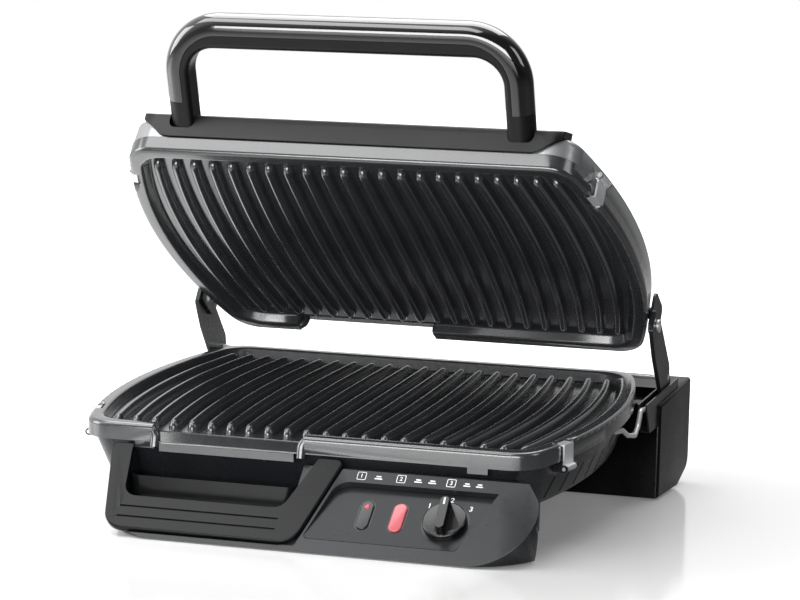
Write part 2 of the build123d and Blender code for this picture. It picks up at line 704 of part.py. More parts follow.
# Front stand: sloping wedge with rounded ends, tray bay and panel recess
stand_rear = front_y + STAND_DEEP
stand_mid = (STAND_RIGHT - STAND_LEFT) / 2
with BuildPart() as front_stand:
    nose = face.from_local_coords((0, SLOPE_NOSE, 0))
    brow = face.from_local_coords((0, SLOPE_TOP, 0))
    with BuildSketch(Plane.YZ) as wedge:
        with BuildLine():
            Polyline(
                (nose.Y, FOOT_PROUD),
                (nose.Y, nose.Z),
                (brow.Y, brow.Z),
                (stand_rear, brow.Z),
                (stand_rear, FOOT_PROUD),
                close=True,
            )
        make_face()
    extrude(amount=PLATE_MID_HALF, both=True)
    with BuildSketch(face) as front_view:
        with Locations((stand_mid, SLOPE_NOSE - 1 + STAND_DEEP)):
            Rectangle(STAND_LEFT + STAND_RIGHT, 2 * STAND_DEEP)
        fillet(front_view.vertices().group_by(Axis.Y)[0], STAND_CORNER)
    extrude(amount=2 * STAND_DEEP, both=True, mode=Mode.INTERSECT)
    with BuildSketch(Plane.XY) as plan:
        with BuildLine():
            Polyline(
                (-STAND_LEFT, front_y - 1),
                (STAND_RIGHT, front_y - 1),
                (STAND_RIGHT, front_y + STAND_WING_DEEP),
                (STAND_WAIST, front_y + STAND_WAIST_BACK),
                (STAND_WAIST, stand_rear),
                (STAND_WAIST - STAND_LEFT - STAND_WAIST, stand_rear),
                close=True,
            )
        make_face()
        back_corners = plan.vertices().filter_by_position(Axis.Y, front_y, stand_rear - 1)
        fillet(back_corners, STAND_PLAN_CORNER)
    extrude(amount=2 * BLOCK_REAR_HIGH, mode=Mode.INTERSECT)
    add(tub_space.part, mode=Mode.SUBTRACT)
    # Room for the tray face and for the bucket
    with BuildSketch(face.offset(TRAY_PROUD - TRAY_FACE - RUN_GAP)) as tray_seat:
        with BuildLine():
            Polyline(
                (-STAND_LEFT - 1, SLOPE_NOSE),
                (-STAND_LEFT - 1, TRAY_LOW - 2 * RUN_GAP),
                (TRAY_RIGHT_LOW + 2 * RUN_GAP, TRAY_LOW - 2 * RUN_GAP),
                (TRAY_RIGHT_HIGH + 2 * RUN_GAP, TRAY_TOP),
                (TRAY_RIGHT_HIGH + 2 * RUN_GAP, 2 * TRAY_TOP),
                (-STAND_LEFT - 1, 2 * TRAY_TOP),
                close=True,
            )
        make_face()
    extrude(amount=STAND_DEEP, mode=Mode.SUBTRACT)
    with BuildSketch(Plane.XY.offset(TRAY_FLOOR - RUN_GAP)) as bay:
        with Locations((bucket_mid[0], bucket_mid[1] - STAND_DEEP / 2 + 1)):
            Rectangle(BUCKET_RIGHT - BUCKET_LEFT + 2, BUCKET_LONG + STAND_DEEP + 2)
    extrude(amount=BLOCK_REAR_HIGH, mode=Mode.SUBTRACT)
    # Panel recess, flush at its foot and deeper at its brow
    with BuildSketch(dash.offset(-PANEL_THICK)) as recess:
        with BuildLine():
            Polyline(
                (PANEL_LEFT, 0),
                (PANEL_RIGHT_LOW, 0),
                (PANEL_RIGHT_HIGH, PANEL_HIGH - PANEL_LOW),
                (PANEL_LEFT + PANEL_SKEW, PANEL_HIGH - PANEL_LOW),
                close=True,
            )
        make_face()
        recess_left_high = recess.vertices().group_by(Axis.Y)[-1].sort_by(Axis.X)[0]
        fillet(recess_left_high, PANEL_BIG_CORNER)
        fillet(recess.vertices().sort_by(Axis.Y)[:2], PANEL_SMALL_CORNER)
    extrude(amount=PANEL_DIP + 4 * PANEL_THICK, mode=Mode.SUBTRACT)
    with BuildSketch(dash.offset(-PANEL_THICK)) as thermostat_well:
        with Locations((KNOB_X, KNOB_UP)):
            Rectangle(THERMOSTAT_WIDE + 2 * RUN_GAP, THERMOSTAT_WIDE + 2 * RUN_GAP)
    extrude(amount=-THERMOSTAT_DEEP - RUN_GAP, mode=Mode.SUBTRACT)
finish(front_stand.part, "front_stand")


# Rear block that carries the hinge, with slots for the channels
channel_wide = ARM_THICK + 2 * CHANNEL_GAP + 2 * SHEET
pin_point = (HINGE_BACK, -HINGE_DROP)
with BuildPart() as rear_block:
    block_rear = BODY_DEPTH / 2
    with BuildSketch(Plane.YZ) as block_side:
        with BuildLine():
            Polyline(
                (block_front, FOOT_PROUD),
                (block_rear - BLOCK_HEEL, FOOT_PROUD),
                (block_rear, BLOCK_HEEL_RISE),
                (block_rear, BLOCK_REAR_HIGH),
                (block_front, BLOCK_FRONT_HIGH),
                close=True,
            )
        make_face()
        heel = block_side.vertices().filter_by_position(Axis.Y, 0, BLOCK_HEEL_RISE + 1)
        fillet(heel.sort_by(Axis.X)[1:], BLOCK_HEEL_ROUND)
    extrude(amount=BLOCK_HALF, both=True)
    side_edges = rear_block.faces().sort_by(Axis.X)[0].edges()
    side_edges += rear_block.faces().sort_by(Axis.X)[-1].edges()
    fillet(side_edges, BLOCK_ROUND)
    for side in (-1, 1):
        slot_plane = side_plane(cook, side * channel_mid)
        with BuildSketch(slot_plane) as slot:
            with BuildLine():
                Polyline(
                    (0, CHANNEL_FOOT - RUN_GAP),
                    (CHANNEL_REAR + RUN_GAP, CHANNEL_FOOT - RUN_GAP),
                    (CHANNEL_REAR + RUN_GAP, BLOCK_REAR_HIGH),
                    (0, BLOCK_REAR_HIGH),
                    close=True,
                )
            make_face()
        extrude(amount=channel_wide / 2 + RUN_GAP, both=True, mode=Mode.SUBTRACT)
    # Shallow relief under the sweep of the cross rod
    with BuildSketch(side_plane(cook)) as relief:
        with Locations(pin_point):
            Circle(CHANNEL_SWEEP + 2 * RUN_GAP)
        with Locations((0, -HINGE_DROP - ROD_RADIUS - 2 * RUN_GAP)):
            Rectangle(BODY_DEPTH, BODY_DEPTH, align=(Align.MIN, Align.MAX), mode=Mode.SUBTRACT)
    extrude(amount=channel_mid, both=True, mode=Mode.SUBTRACT)
    # Well for the cord gland
    with BuildSketch(Plane.XZ.offset(-block_rear)) as gland_well:
        with Locations((GLAND_X, GLAND_HEIGHT)):
            Circle(GLAND_RADIUS)
    extrude(amount=GLAND_LONG + RUN_GAP, mode=Mode.SUBTRACT)
finish(rear_block.part, "rear_block")
with BuildPart() as cord_gland:
    with BuildSketch(Plane.XZ.offset(-block_rear + GLAND_LONG)) as gland_body:
        with Locations((GLAND_X, GLAND_HEIGHT)):
            Circle(GLAND_RADIUS - PIN_GAP)
            Circle(GLAND_BORE, mode=Mode.SUBTRACT)
    extrude(amount=-GLAND_LONG + 1)
finish(cord_gland.part, "cord_gland")

# Rubber feet set into the undersides
foot_places = {
    "front_right": (STAND_WAIST - 2 * FOOT_RADIUS, front_y + STAND_WING_DEEP),
    "front_left": (FOOT_LEFT, front_y + STAND_DEEP - 2 * FOOT_RADIUS),
    "rear_right": (BLOCK_HALF - 3 * FOOT_RADIUS, block_front + 2 * FOOT_RADIUS),
    "rear_left": (3 * FOOT_RADIUS - BLOCK_HALF, block_front + 2 * FOOT_RADIUS),
}
for foot_name, foot_place in foot_places.items():
    with BuildPart() as rubber_foot:
        with BuildSketch(Plane.XY) as pad:
            with Locations(foot_place):
                Circle(FOOT_RADIUS)
        extrude(amount=FOOT_PROUD)
        chamfer(rubber_foot.edges().group_by(Axis.Z)[0], FOOT_PROUD / 3)
    finish(rubber_foot.part, f"foot_{foot_name}")

# Hinge hardware, one set on each side
lug_plane_at = ARM_INNER - RUN_GAP - LUG_THICK
for side, hand in ((-1, "left"), (1, "right")):
    channel_end = Plane(
        origin=cook.from_local_coords((side * channel_mid, CHANNEL_FRONT, 0)),
        x_dir=(side, 0, 0),
        z_dir=cook.y_dir * -side,
    )
    with BuildPart() as channel:
        with BuildSketch(channel_end) as channel_section:
            with Locations((0, (CHANNEL_TOP + CHANNEL_FOOT) / 2)):
                Rectangle(channel_wide, CHANNEL_TOP - CHANNEL_FOOT)
            with Locations((0, (CHANNEL_TOP + CHANNEL_FOOT) / 2 + SHEET)):
                Rectangle(
                    channel_wide - 2 * SHEET, CHANNEL_TOP - CHANNEL_FOOT, mode=Mode.SUBTRACT
                )
        extrude(amount=-side * (CHANNEL_REAR - CHANNEL_FRONT))
        with BuildSketch(side_plane(cook, side * (channel_mid - channel_wide / 2))) as sweep_cut:
            with Locations(pin_point):
                Circle(CHANNEL_SWEEP)
                Circle(CHANNEL_SWEEP - 2 * ROD_RADIUS - 3 * RUN_GAP, mode=Mode.SUBTRACT)
            with Locations((0, -HINGE_DROP - ROD_RADIUS - RUN_GAP)):
                Rectangle(BODY_DEPTH, BODY_DEPTH, align=(Align.MIN, Align.MAX), mode=Mode.SUBTRACT)
            with Locations((HINGE_BACK, 0)):
                Rectangle(BODY_DEPTH, BODY_DEPTH, align=(Align.MAX, Align.CENTER), mode=Mode.SUBTRACT)
        extrude(amount=SHEET + CHANNEL_GAP / 2, both=True, mode=Mode.SUBTRACT)
        with BuildSketch(side_plane(cook, side * channel_mid)) as pin_hole:
            with Locations(pin_point):
                Circle(PIN_RADIUS)
        extrude(amount=channel_wide, both=True, mode=Mode.SUBTRACT)
        # Front ends cut on a slant
        with BuildSketch(side_plane(cook, side * channel_mid)) as slant:
            with BuildLine():
                Polyline(
                    (CHANNEL_FRONT - 1, CHANNEL_FOOT - 1),
                    (CHANNEL_FRONT + CHANNEL_SLANT, CHANNEL_FOOT - 1),
                    (CHANNEL_FRONT - 1, CHANNEL_TOP - SHEET),
                    close=True,
                )
            make_face()
        extrude(amount=channel_wide, both=True, mode=Mode.SUBTRACT)
    finish(channel.part, f"hinge_channel_{hand}")
    with BuildPart() as hinge_pin:
        with BuildSketch(side_plane(cook, side * channel_mid)) as pin_section:
            with Locations(pin_point):
                Circle(PIN_RADIUS)
        extrude(amount=channel_wide / 2, both=True)
    finish(hinge_pin.part, f"hinge_pin_{hand}")
    with BuildPart() as hinge_arm:
        with BuildSketch(side_plane(lid, side * channel_mid)) as arm_shape:
            with BuildLine():
                Polyline(
                    (FLOAT_BACK - ARM_HEAD, ARM_TOP),
                    (FLOAT_BACK + ARM_HEAD / 2, ARM_TOP),
                    (HINGE_BACK - ARM_FOOT, -FLOAT_DROP - ARM_FOOT / 2),
                    (HINGE_BACK + ARM_FOOT, -HINGE_DROP - closed_rise + ARM_FOOT),
                    (HINGE_BACK - ARM_FOOT, -HINGE_DROP - closed_rise - ARM_FOOT / 2),
                    (FLOAT_BACK + ARM_HEAD, ARM_ELBOW - ARM_HEAD / 2),
                    (FLOAT_BACK, ARM_ELBOW),
                    (FLOAT_BACK - ARM_HEAD, -ARM_HEAD),
                    close=True,
                )
            make_face()
            fillet(arm_shape.vertices(), ARM_ROUND)
            with Locations((HINGE_BACK, -HINGE_DROP - closed_rise)):
                Circle(ARM_FOOT)
                Circle(PIN_RADIUS + PIN_GAP, mode=Mode.SUBTRACT)
            with Locations((FLOAT_BACK, -FLOAT_DROP)):
                Circle(PIN_RADIUS + PIN_GAP, mode=Mode.SUBTRACT)
            with Locations((ROD_BACK, -ROD_DROP)):
                Circle(ROD_RADIUS, mode=Mode.SUBTRACT)
        extrude(amount=ARM_THICK / 2, both=True)
    finish(hinge_arm.part, f"hinge_arm_{hand}")
    # Lug on the lid and the pin that the arm turns on
    lug_plane = side_plane(lid, side * (lug_plane_at + LUG_THICK / 2))
    with BuildPart() as lid_lug:
        with BuildSketch(lug_plane) as lug_shape:
            with Locations(((LUG_FRONT + LUG_REAR) / 2, (LUG_LOW + LUG_HIGH) / 2)):
                RectangleRounded(LUG_REAR - LUG_FRONT, LUG_HIGH - LUG_LOW, LUG_ROUND)
            with Locations((FLOAT_BACK, -FLOAT_DROP)):
                Circle(PIN_RADIUS, mode=Mode.SUBTRACT)
        extrude(amount=LUG_THICK / 2, both=True)
        with BuildSketch(lug_plane) as lug_boss:
            with Locations((LUG_REAR - 2 * LUG_ROUND, LUG_HIGH - 2 * LUG_ROUND)):
                Circle(POST_RADIUS)
        extrude(amount=-side * LUG_BOSS)
    finish(lid_lug.part, f"lid_lug_{hand}")
    with BuildPart() as float_pin:
        with BuildSketch(side_plane(lid, side * lug_plane_at)) as float_pin_section:
            with Locations((FLOAT_BACK, -FLOAT_DROP)):
                Circle(PIN_RADIUS)
        extrude(amount=side * (LUG_THICK + RUN_GAP + ARM_THICK + RUN_GAP))
        with BuildSketch(side_plane(lid, side * (ARM_INNER + ARM_THICK + RUN_GAP))) as pin_head:
            with Locations((FLOAT_BACK, -FLOAT_DROP)):
                Circle(PIN_RADIUS + 1.5)
        extrude(amount=side * PIN_HEAD)
    finish(float_pin.part, f"float_pin_{hand}")
with BuildPart() as cross_rod:
    with BuildSketch(side_plane(lid)) as rod_section:
        with Locations((ROD_BACK, -ROD_DROP)):
            Circle(ROD_RADIUS)
    extrude(amount=ARM_INNER + ARM_THICK, both=True)
finish(cross_rod.part, "cross_rod")

# Room that the upper plate's hooks and its spout lip take out of the lid
with BuildPart() as plate_space:
    for hook_x in HOOK_XS:
        with BuildSketch(under_lid) as hook_slot:
            with Locations((hook_x, hook_back)):
                Rectangle(HOOK_WIDE + 2 * HOOK_GAP, HOOK_THICK + 2 * HOOK_GAP)
        extrude(amount=-skirt - HOOK_DROP - HOOK_GAP)
    with BuildSketch(under_lid) as lip_slot:
        with Locations(((SPOUT_LEFT + SPOUT_RIGHT) / 2, front_edge)):
            Rectangle(SPOUT_RIGHT - SPOUT_LEFT + 2 * SPOUT_BEAD, 4 * SPOUT_BEAD + HOOK_GAP)
    extrude(amount=lip_top - LIP_FACE - HOOK_GAP)

# Handle: a bent loop, matte inside with a gloss outer skin


def loop_shape(half, tall, corner, root):
    """Arch outline in the handle plane, open at its foot."""
    with BuildSketch(handle) as arch:
        with Locations((0, (tall - root) / 2)):
            Rectangle(2 * half, tall + root)
        fillet(arch.vertices().group_by(Axis.Y)[-1], corner)
    return arch.sketch


inner_half = HANDLE_HALF - HANDLE_LEG
inner_tall = HANDLE_TALL - HANDLE_BAR
skin_half = HANDLE_HALF - GRIP_SKIN
skin_tall = HANDLE_TALL - GRIP_SKIN
skin_corner = HANDLE_CORNER - GRIP_SKIN
with BuildPart() as grip_space:
    extrude(loop_shape(HANDLE_HALF, HANDLE_TALL, HANDLE_CORNER, 0), HANDLE_DEEP / 2, both=True)
    extrude(
        loop_shape(skin_half, skin_tall, skin_corner, 1),
        HANDLE_DEEP / 2,
        both=True,
        mode=Mode.SUBTRACT,
    )
    grip_cut = Plane(origin=handle.from_local_coords((0, GRIP_START, 0)), z_dir=handle.y_dir)
    split(bisect_by=grip_cut, keep=Keep.TOP)
with BuildPart() as handle_loop:
    extrude(
        loop_shape(HANDLE_HALF, HANDLE_TALL, HANDLE_CORNER, HANDLE_ROOT),
        HANDLE_DEEP / 2,
        both=True,
    )
    extrude(
        loop_shape(inner_half, inner_tall, HANDLE_INNER_CORNER, HANDLE_ROOT + 1),
        HANDLE_DEEP / 2,
        both=True,
        mode=Mode.SUBTRACT,
    )
    loop_edges = handle_loop.edges().filter_by(Axis(handle.origin, handle.z_dir), reverse=True)
    up_handle = Axis(handle.origin, handle.y_dir)
    fillet(loop_edges.filter_by_position(up_handle, 0, HANDLE_TALL + 1), HANDLE_ROUND)
with BuildPart() as handle_core:
    add(handle_loop.part)
    add([grip_space.part, plate_space.part], mode=Mode.SUBTRACT)
finish(handle_core.part, "handle_core")
with BuildPart() as handle_grip:
    add(handle_loop.part)
    add(grip_space.part, mode=Mode.INTERSECT)
finish(handle_grip.part, "handle_grip")

# Base bar across the front of the lid that carries the handle
with BuildPart() as handle_base:
    bar_face = -PLATE_DEPTH / 2 - BASE_BAR_PROUD
    bar_low = skirt + RUN_GAP
    with BuildSketch(side_plane(lid)) as bar_section:
        with BuildLine():
            Polyline(
                (bar_face, bar_low),
                (bar_face, BASE_BAR_FACE),
                (bar_face + BASE_BAR_PROUD, BASE_BAR_FACE + BASE_BAR_PROUD),
                (bar_face + BASE_BAR_BACK, COVER_SHOULDER + 2 * BASE_BAR_PROUD),
                (bar_face + BASE_BAR_BACK, COVER_SIDE),
                (bar_face + BASE_BAR_BACK / 2, bar_low),
                close=True,
            )
        make_face()
    extrude(amount=BASE_BAR_HALF, both=True)
    with BuildSketch(Plane(origin=lid.origin, x_dir=(1, 0, 0), z_dir=-lid.y_dir)) as bar_front:
        with BuildLine():
            Polyline(
                (-BASE_BAR_LOW_HALF, bar_low),
                (BASE_BAR_LOW_HALF, bar_low),
                (BASE_BAR_HALF, COVER_SIDE),
                (BASE_BAR_HALF, 2 * COVER_TOP),
                (-BASE_BAR_HALF, 2 * COVER_TOP),
                (-BASE_BAR_HALF, COVER_SIDE),
                close=True,
            )
        make_face()
        fillet(bar_front.vertices().group_by(Axis.Y)[0], BASE_BAR_CORNER)
    extrude(amount=PLATE_DEPTH, mode=Mode.INTERSECT)
    extrude(
        outline(lid, -BASE_BAR_PROUD, PLATE_CORNER + BASE_BAR_PROUD),
        amount=2 * COVER_TOP,
        mode=Mode.INTERSECT,
    )
    add([handle_core.part, plate_space.part], mode=Mode.SUBTRACT)
finish(handle_base.part, "handle_base")

# Lid cover: pressed shell with upright sides and a low dome
cover_low = skirt + RUN_GAP
with BuildPart() as cover_hollow:
    loft(
        [
            outline(lid.offset(cover_low - 1), RUN_GAP + COVER_SHEET, PLATE_CORNER),
            outline(lid.offset(COVER_SIDE - COVER_SHEET / 2), 1 + COVER_SHEET, PLATE_CORNER),
        ]
    )
    shoulder_in = COVER_SHOULDER_INSET + COVER_SHEET / 2
    loft(
        [
            outline(lid.offset(COVER_SIDE - COVER_SHEET / 2), 1 + COVER_SHEET, PLATE_CORNER),
            outline(lid.offset(COVER_SHOULDER - COVER_SHEET), shoulder_in, PLATE_CORNER),
            outline(lid.offset(COVER_TOP - COVER_SHEET), COVER_TOP_INSET, PLATE_CORNER),
        ]
    )
with BuildPart() as lid_cover:
    loft(
        [
            outline(lid.offset(cover_low), RUN_GAP, PLATE_CORNER),
            outline(lid.offset(COVER_SIDE), 1, PLATE_CORNER),
        ]
    )
    loft(
        [
            outline(lid.offset(COVER_SIDE), 1, PLATE_CORNER),
            outline(lid.offset(COVER_SHOULDER), COVER_SHOULDER_INSET, PLATE_CORNER),
            outline(lid.offset(COVER_TOP), COVER_TOP_INSET, PLATE_CORNER),
        ]
    )
    inside = [cover_hollow.part, handle_base.part, handle_core.part, plate_space.part]
    add(inside, mode=Mode.SUBTRACT)
    for side in (-1, 1):
        with BuildSketch(side_plane(lid, side * lug_plane_at)) as boss_hole:
            with Locations((LUG_REAR - 2 * LUG_ROUND, LUG_HIGH - 2 * LUG_ROUND)):
                Circle(POST_RADIUS)
        extrude(amount=-side * 2 * LUG_BOSS, mode=Mode.SUBTRACT)
        for ear_at in (-1, 1):
            ear_plane = clip_plane(under_lid, side, CLIP_BACK)
            ear_shift = ear_at * (CLIP_WIDE / 2 + RUN_GAP + EAR_THICK / 2)
            ear_root = CLIP_PIVOT_OUT + RUN_GAP + COVER_SHEET / 2
            with BuildSketch(ear_plane.offset(ear_shift)) as cover_ear:
                with Locations((CLIP_PIVOT_OUT - ear_root / 2, -CLIP_PIVOT_DROP)):
                    Rectangle(ear_root, EAR_TALL)
                with Locations((CLIP_PIVOT_OUT, -CLIP_PIVOT_DROP)):
                    Circle(EAR_TALL / 2)
                    Circle(CLIP_PIN + PIN_GAP, mode=Mode.SUBTRACT)
            extrude(amount=EAR_THICK / 2, both=True)
finish(lid_cover.part, "lid_cover")

# Liner ring inside the cover that seats the upper plate and its reflector
with BuildPart() as lid_liner:
    collar_out = REFLECTOR_INSET - REFLECTOR_THICK
    extrude(outline(lid.offset(cover_low), LINER_INSET, PLATE_CORNER), amount=LINER_THICK)
    collar_top = REFLECTOR_DROP + REFLECTOR_THICK - REFLECTOR_LIP - RUN_GAP
    extrude(outline(lid.offset(cover_low), collar_out, PLATE_CORNER), amount=collar_top - cover_low)
    extrude(
        outline(lid.offset(cover_low), collar_out + LINER_THICK / 2, PLATE_CORNER),
        amount=COVER_TOP,
        mode=Mode.SUBTRACT,
    )
    add([handle_base.part, handle_core.part, plate_space.part], mode=Mode.SUBTRACT)
finish(lid_liner.part, "lid_liner")

# Spring clips: a strap with a hooked top turning on a cross pin
for level, plane, handle_side in (("lower", cook, -1), ("upper", under_lid, 1)):
    for side, hand in ((-1, "left"), (1, "right")):
        with BuildPart() as clip:
            hook_high = RIM_CREST - CLIP_NOTCH_DEEP + CLIP_LIFT
            strap_out = CLIP_STRAP_OUT + CLIP_SHEET
            clip_at = clip_plane(plane, side, handle_side * CLIP_BACK)
            with BuildSketch(clip_at) as strap:
                with BuildLine():
                    Polyline(
                        (CLIP_STRAP_OUT, -CLIP_PIVOT_DROP),
                        (CLIP_STRAP_OUT, hook_high),
                        (-CLIP_REACH, hook_high),
                        (-CLIP_REACH, hook_high + CLIP_SHEET),
                        (strap_out, hook_high + CLIP_SHEET),
                        (strap_out, -CLIP_PIVOT_DROP),
                        close=True,
                    )
                make_face()
                fillet(strap.vertices().sort_by(Axis.X)[-1], CLIP_SHEET / 2)
                with Locations((CLIP_PIVOT_OUT, -CLIP_PIVOT_DROP)):
                    Circle(CLIP_BARREL)
            extrude(amount=CLIP_WIDE / 2, both=True)
            with BuildSketch(clip_at) as clip_pin:
                with Locations((CLIP_PIVOT_OUT, -CLIP_PIVOT_DROP)):
                    Circle(CLIP_PIN)
            extrude(amount=CLIP_WIDE / 2 + RUN_GAP + EAR_THICK, both=True)
        finish(clip.part, f"{level}_clip_{hand}")
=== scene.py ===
# %% [markdown]
# # A half-open contact grill
# The solid model gives every piece its true size and place. This script dresses it: it keeps
# each piece where the solids have it, gives it a smoother or more detailed mesh where the eye
# needs one, and paints it with finishes that are worked out by nodes, with no image files.

import json
import math

import bmesh
import bpy
from mathutils import Matrix, Vector


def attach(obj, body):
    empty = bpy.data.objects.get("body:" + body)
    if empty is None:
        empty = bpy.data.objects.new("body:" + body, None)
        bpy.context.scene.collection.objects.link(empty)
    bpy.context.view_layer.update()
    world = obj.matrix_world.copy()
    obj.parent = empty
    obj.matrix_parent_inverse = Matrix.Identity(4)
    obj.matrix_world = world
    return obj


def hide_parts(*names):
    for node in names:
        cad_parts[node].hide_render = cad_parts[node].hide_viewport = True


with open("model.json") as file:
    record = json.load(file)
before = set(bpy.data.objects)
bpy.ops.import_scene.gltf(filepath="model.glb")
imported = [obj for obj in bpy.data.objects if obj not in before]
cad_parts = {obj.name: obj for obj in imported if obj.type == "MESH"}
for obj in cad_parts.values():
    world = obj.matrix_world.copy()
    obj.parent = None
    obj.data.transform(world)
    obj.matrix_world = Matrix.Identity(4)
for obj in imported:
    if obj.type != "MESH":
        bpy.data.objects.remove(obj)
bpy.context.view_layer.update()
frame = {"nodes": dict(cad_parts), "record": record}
cad_nodes = frame["nodes"]
body_of = {}
for body_name, members in frame["record"]["behaviour"]["bodies"].items():
    for member in members:
        body_of[member] = body_name
slot_of = {part["node"]: part["material_slot"] for part in frame["record"]["subparts"]}

# %% [markdown]
# ## The planes that things are drawn on
# Sizes below are written in millimetres, as on a drawing, and turned into metres by `MM`.
# The lower plate lies five degrees nose-down, the lid stands half open above it, and the
# control panel and the ledge over it slope back. A plane is a matrix: its x runs along the
# grill's width, its y up the slope and its z out of the surface. Each piece could be turned by
# hand, but it is easier to draw it flat and then lay it on its plane.

# %% Planes of the plates, the ledge, the panel and the handle
MM = 0.001


def sloping(y, z, tilt):
    """Matrix of a plane through (0, y, z), turned about the width by tilt degrees."""
    return Matrix.Translation((0, y * MM, z * MM)) @ Matrix.Rotation(math.radians(tilt), 4, "X")


COOK_PLANE = sloping(-18.15, 71.1, 5.0)
UNDER_LID_PLANE = sloping(22.46, 167.2, 147.0)
LEDGE_PLANE = sloping(-180.61, 8.0, 47.0)
PANEL_PLANE = sloping(-180.34, 8.29, 40.86)
HANDLE_PLANE = sloping(-65.15, 244.36, 109.0)
print("upper plate faces:", [round(v, 3) for v in UNDER_LID_PLANE.col[2][:3]])

# %% [markdown]
# ## Shared shader effects
# Coating, plastic and metal differ in their numbers, but the same two effects lie under them
# all. So each effect is built once, as a shader node group with its own inputs, and is placed in
# every material with other values. Three small functions come first: one makes an empty group,
# one makes a node with its values, and one makes a ramp, which carries one range of numbers to
# another.

# %% Functions for shader nodes
VECTOR, COLOUR, VALUE = "NodeSocketVector", "NodeSocketColor", "NodeSocketFloat"


def new_group(name, inputs, outputs):
    """Empty shader group with named sockets, and its two end nodes."""
    group = bpy.data.node_groups.new(name, "ShaderNodeTree")
    for label, kind, default in inputs:
        socket = group.interface.new_socket(name=label, in_out="INPUT", socket_type=kind)
        if default is not None:
            socket.default_value = default
    for label, kind in outputs:
        group.interface.new_socket(name=label, in_out="OUTPUT", socket_type=kind)
    start = group.nodes.new("NodeGroupInput")
    end = group.nodes.new("NodeGroupOutput")
    return group, start, end


def add_node(tree, kind, **values):
    """Node with its properties and its plain inputs set by name."""
    node = tree.nodes.new(kind)
    for label, value in values.items():
        if hasattr(node, label):
            setattr(node, label, value)
        else:
            node.inputs[label.replace("_", " ")].default_value = value
    return node


def ramp(tree, low, high, first=0.0, last=1.0, **values):
    """Map Range node that carries low to first and high to last."""
    node = add_node(tree, "ShaderNodeMapRange", **values)
    node.inputs["From Min"].default_value = low
    node.inputs["From Max"].default_value = high
    node.inputs["To Min"].default_value = first
    node.inputs["To Max"].default_value = last
    return node


# %% [markdown]
# Moulded plastic is never quite smooth: the steel mould was etched, so the light breaks up
# over a fine grain. It could be painted as an image, but a node group has no seams and serves
# every piece. The group mixes small rounded cells with noise, and puts out a height that goes
# into a Bump node.

# %% Node group: moulded grain
CELL_SHARE = 0.5

grain_group, start, end = new_group(
    "moulded grain",
    [("Vector", VECTOR, None), ("Scale", VALUE, 900.0)],
    [("Height", VALUE)],
)
cells = add_node(grain_group, "ShaderNodeTexVoronoi", feature="SMOOTH_F1")
noise = add_node(grain_group, "ShaderNodeTexNoise", Detail=3.0, Roughness=0.6)
blend = add_node(grain_group, "ShaderNodeMath", operation="MULTIPLY_ADD")
blend.inputs[1].default_value = CELL_SHARE
link = grain_group.links.new
link(start.outputs["Vector"], cells.inputs["Vector"])
link(start.outputs["Vector"], noise.inputs["Vector"])
link(start.outputs["Scale"], cells.inputs["Scale"])
link(start.outputs["Scale"], noise.inputs["Scale"])
link(cells.outputs["Distance"], blend.inputs[0])
link(noise.outputs["Fac"], blend.inputs[2])
link(blend.outputs[0], end.inputs["Height"])
print("group:", grain_group.name)

# %% [markdown]
# A finish that is the same everywhere looks like a drawing. Hands leave a thin uneven film, so
# this second group mixes a clean and a worn colour by soft patches and dulls the gloss by the
# same patches. The patches come from noise, because a film has no direction and no pattern.

# %% Node group: handling film
PATCH_LOW = 0.35
PATCH_HIGH = 0.7

film_group, start, end = new_group(
    "handling film",
    [
        ("Vector", VECTOR, None),
        ("Clean", COLOUR, (0.03, 0.03, 0.03, 1)),
        ("Worn", COLOUR, (0.05, 0.05, 0.05, 1)),
        ("Smooth", VALUE, 0.3),
        ("Rough", VALUE, 0.45),
        ("Patch Size", VALUE, 18.0),
    ],
    [("Color", COLOUR), ("Roughness", VALUE)],
)
patches = add_node(film_group, "ShaderNodeTexNoise", Detail=5.0, Roughness=0.62)
sharpen = ramp(film_group, PATCH_LOW, PATCH_HIGH)
tint = add_node(film_group, "ShaderNodeMix", data_type="RGBA")
dull = add_node(film_group, "ShaderNodeMapRange")
link = film_group.links.new
link(start.outputs["Vector"], patches.inputs["Vector"])
link(start.outputs["Patch Size"], patches.inputs["Scale"])
link(patches.outputs["Fac"], sharpen.inputs["Value"])
link(sharpen.outputs[0], tint.inputs["Factor"])
link(start.outputs["Clean"], tint.inputs[6])
link(start.outputs["Worn"], tint.inputs[7])
link(sharpen.outputs[0], dull.inputs["Value"])
link(start.outputs["Smooth"], dull.inputs["To Min"])
link(start.outputs["Rough"], dull.inputs["To Max"])
link(tint.outputs[2], end.inputs["Color"])
link(dull.outputs[0], end.inputs["Roughness"])
print("group:", film_group.name)

# %% [markdown]
# ## Finishes
# Every finish reads Object coordinates, so its pattern stays on the piece when a joint moves.
# `finish` wires the two shared groups to one Principled shader. What is constant, such as how
# metallic a paint is, is set on the shader itself, because the export reads it there.

# %% A function that builds a finish
BUMP_STRENGTH = 0.6
finishes = {}


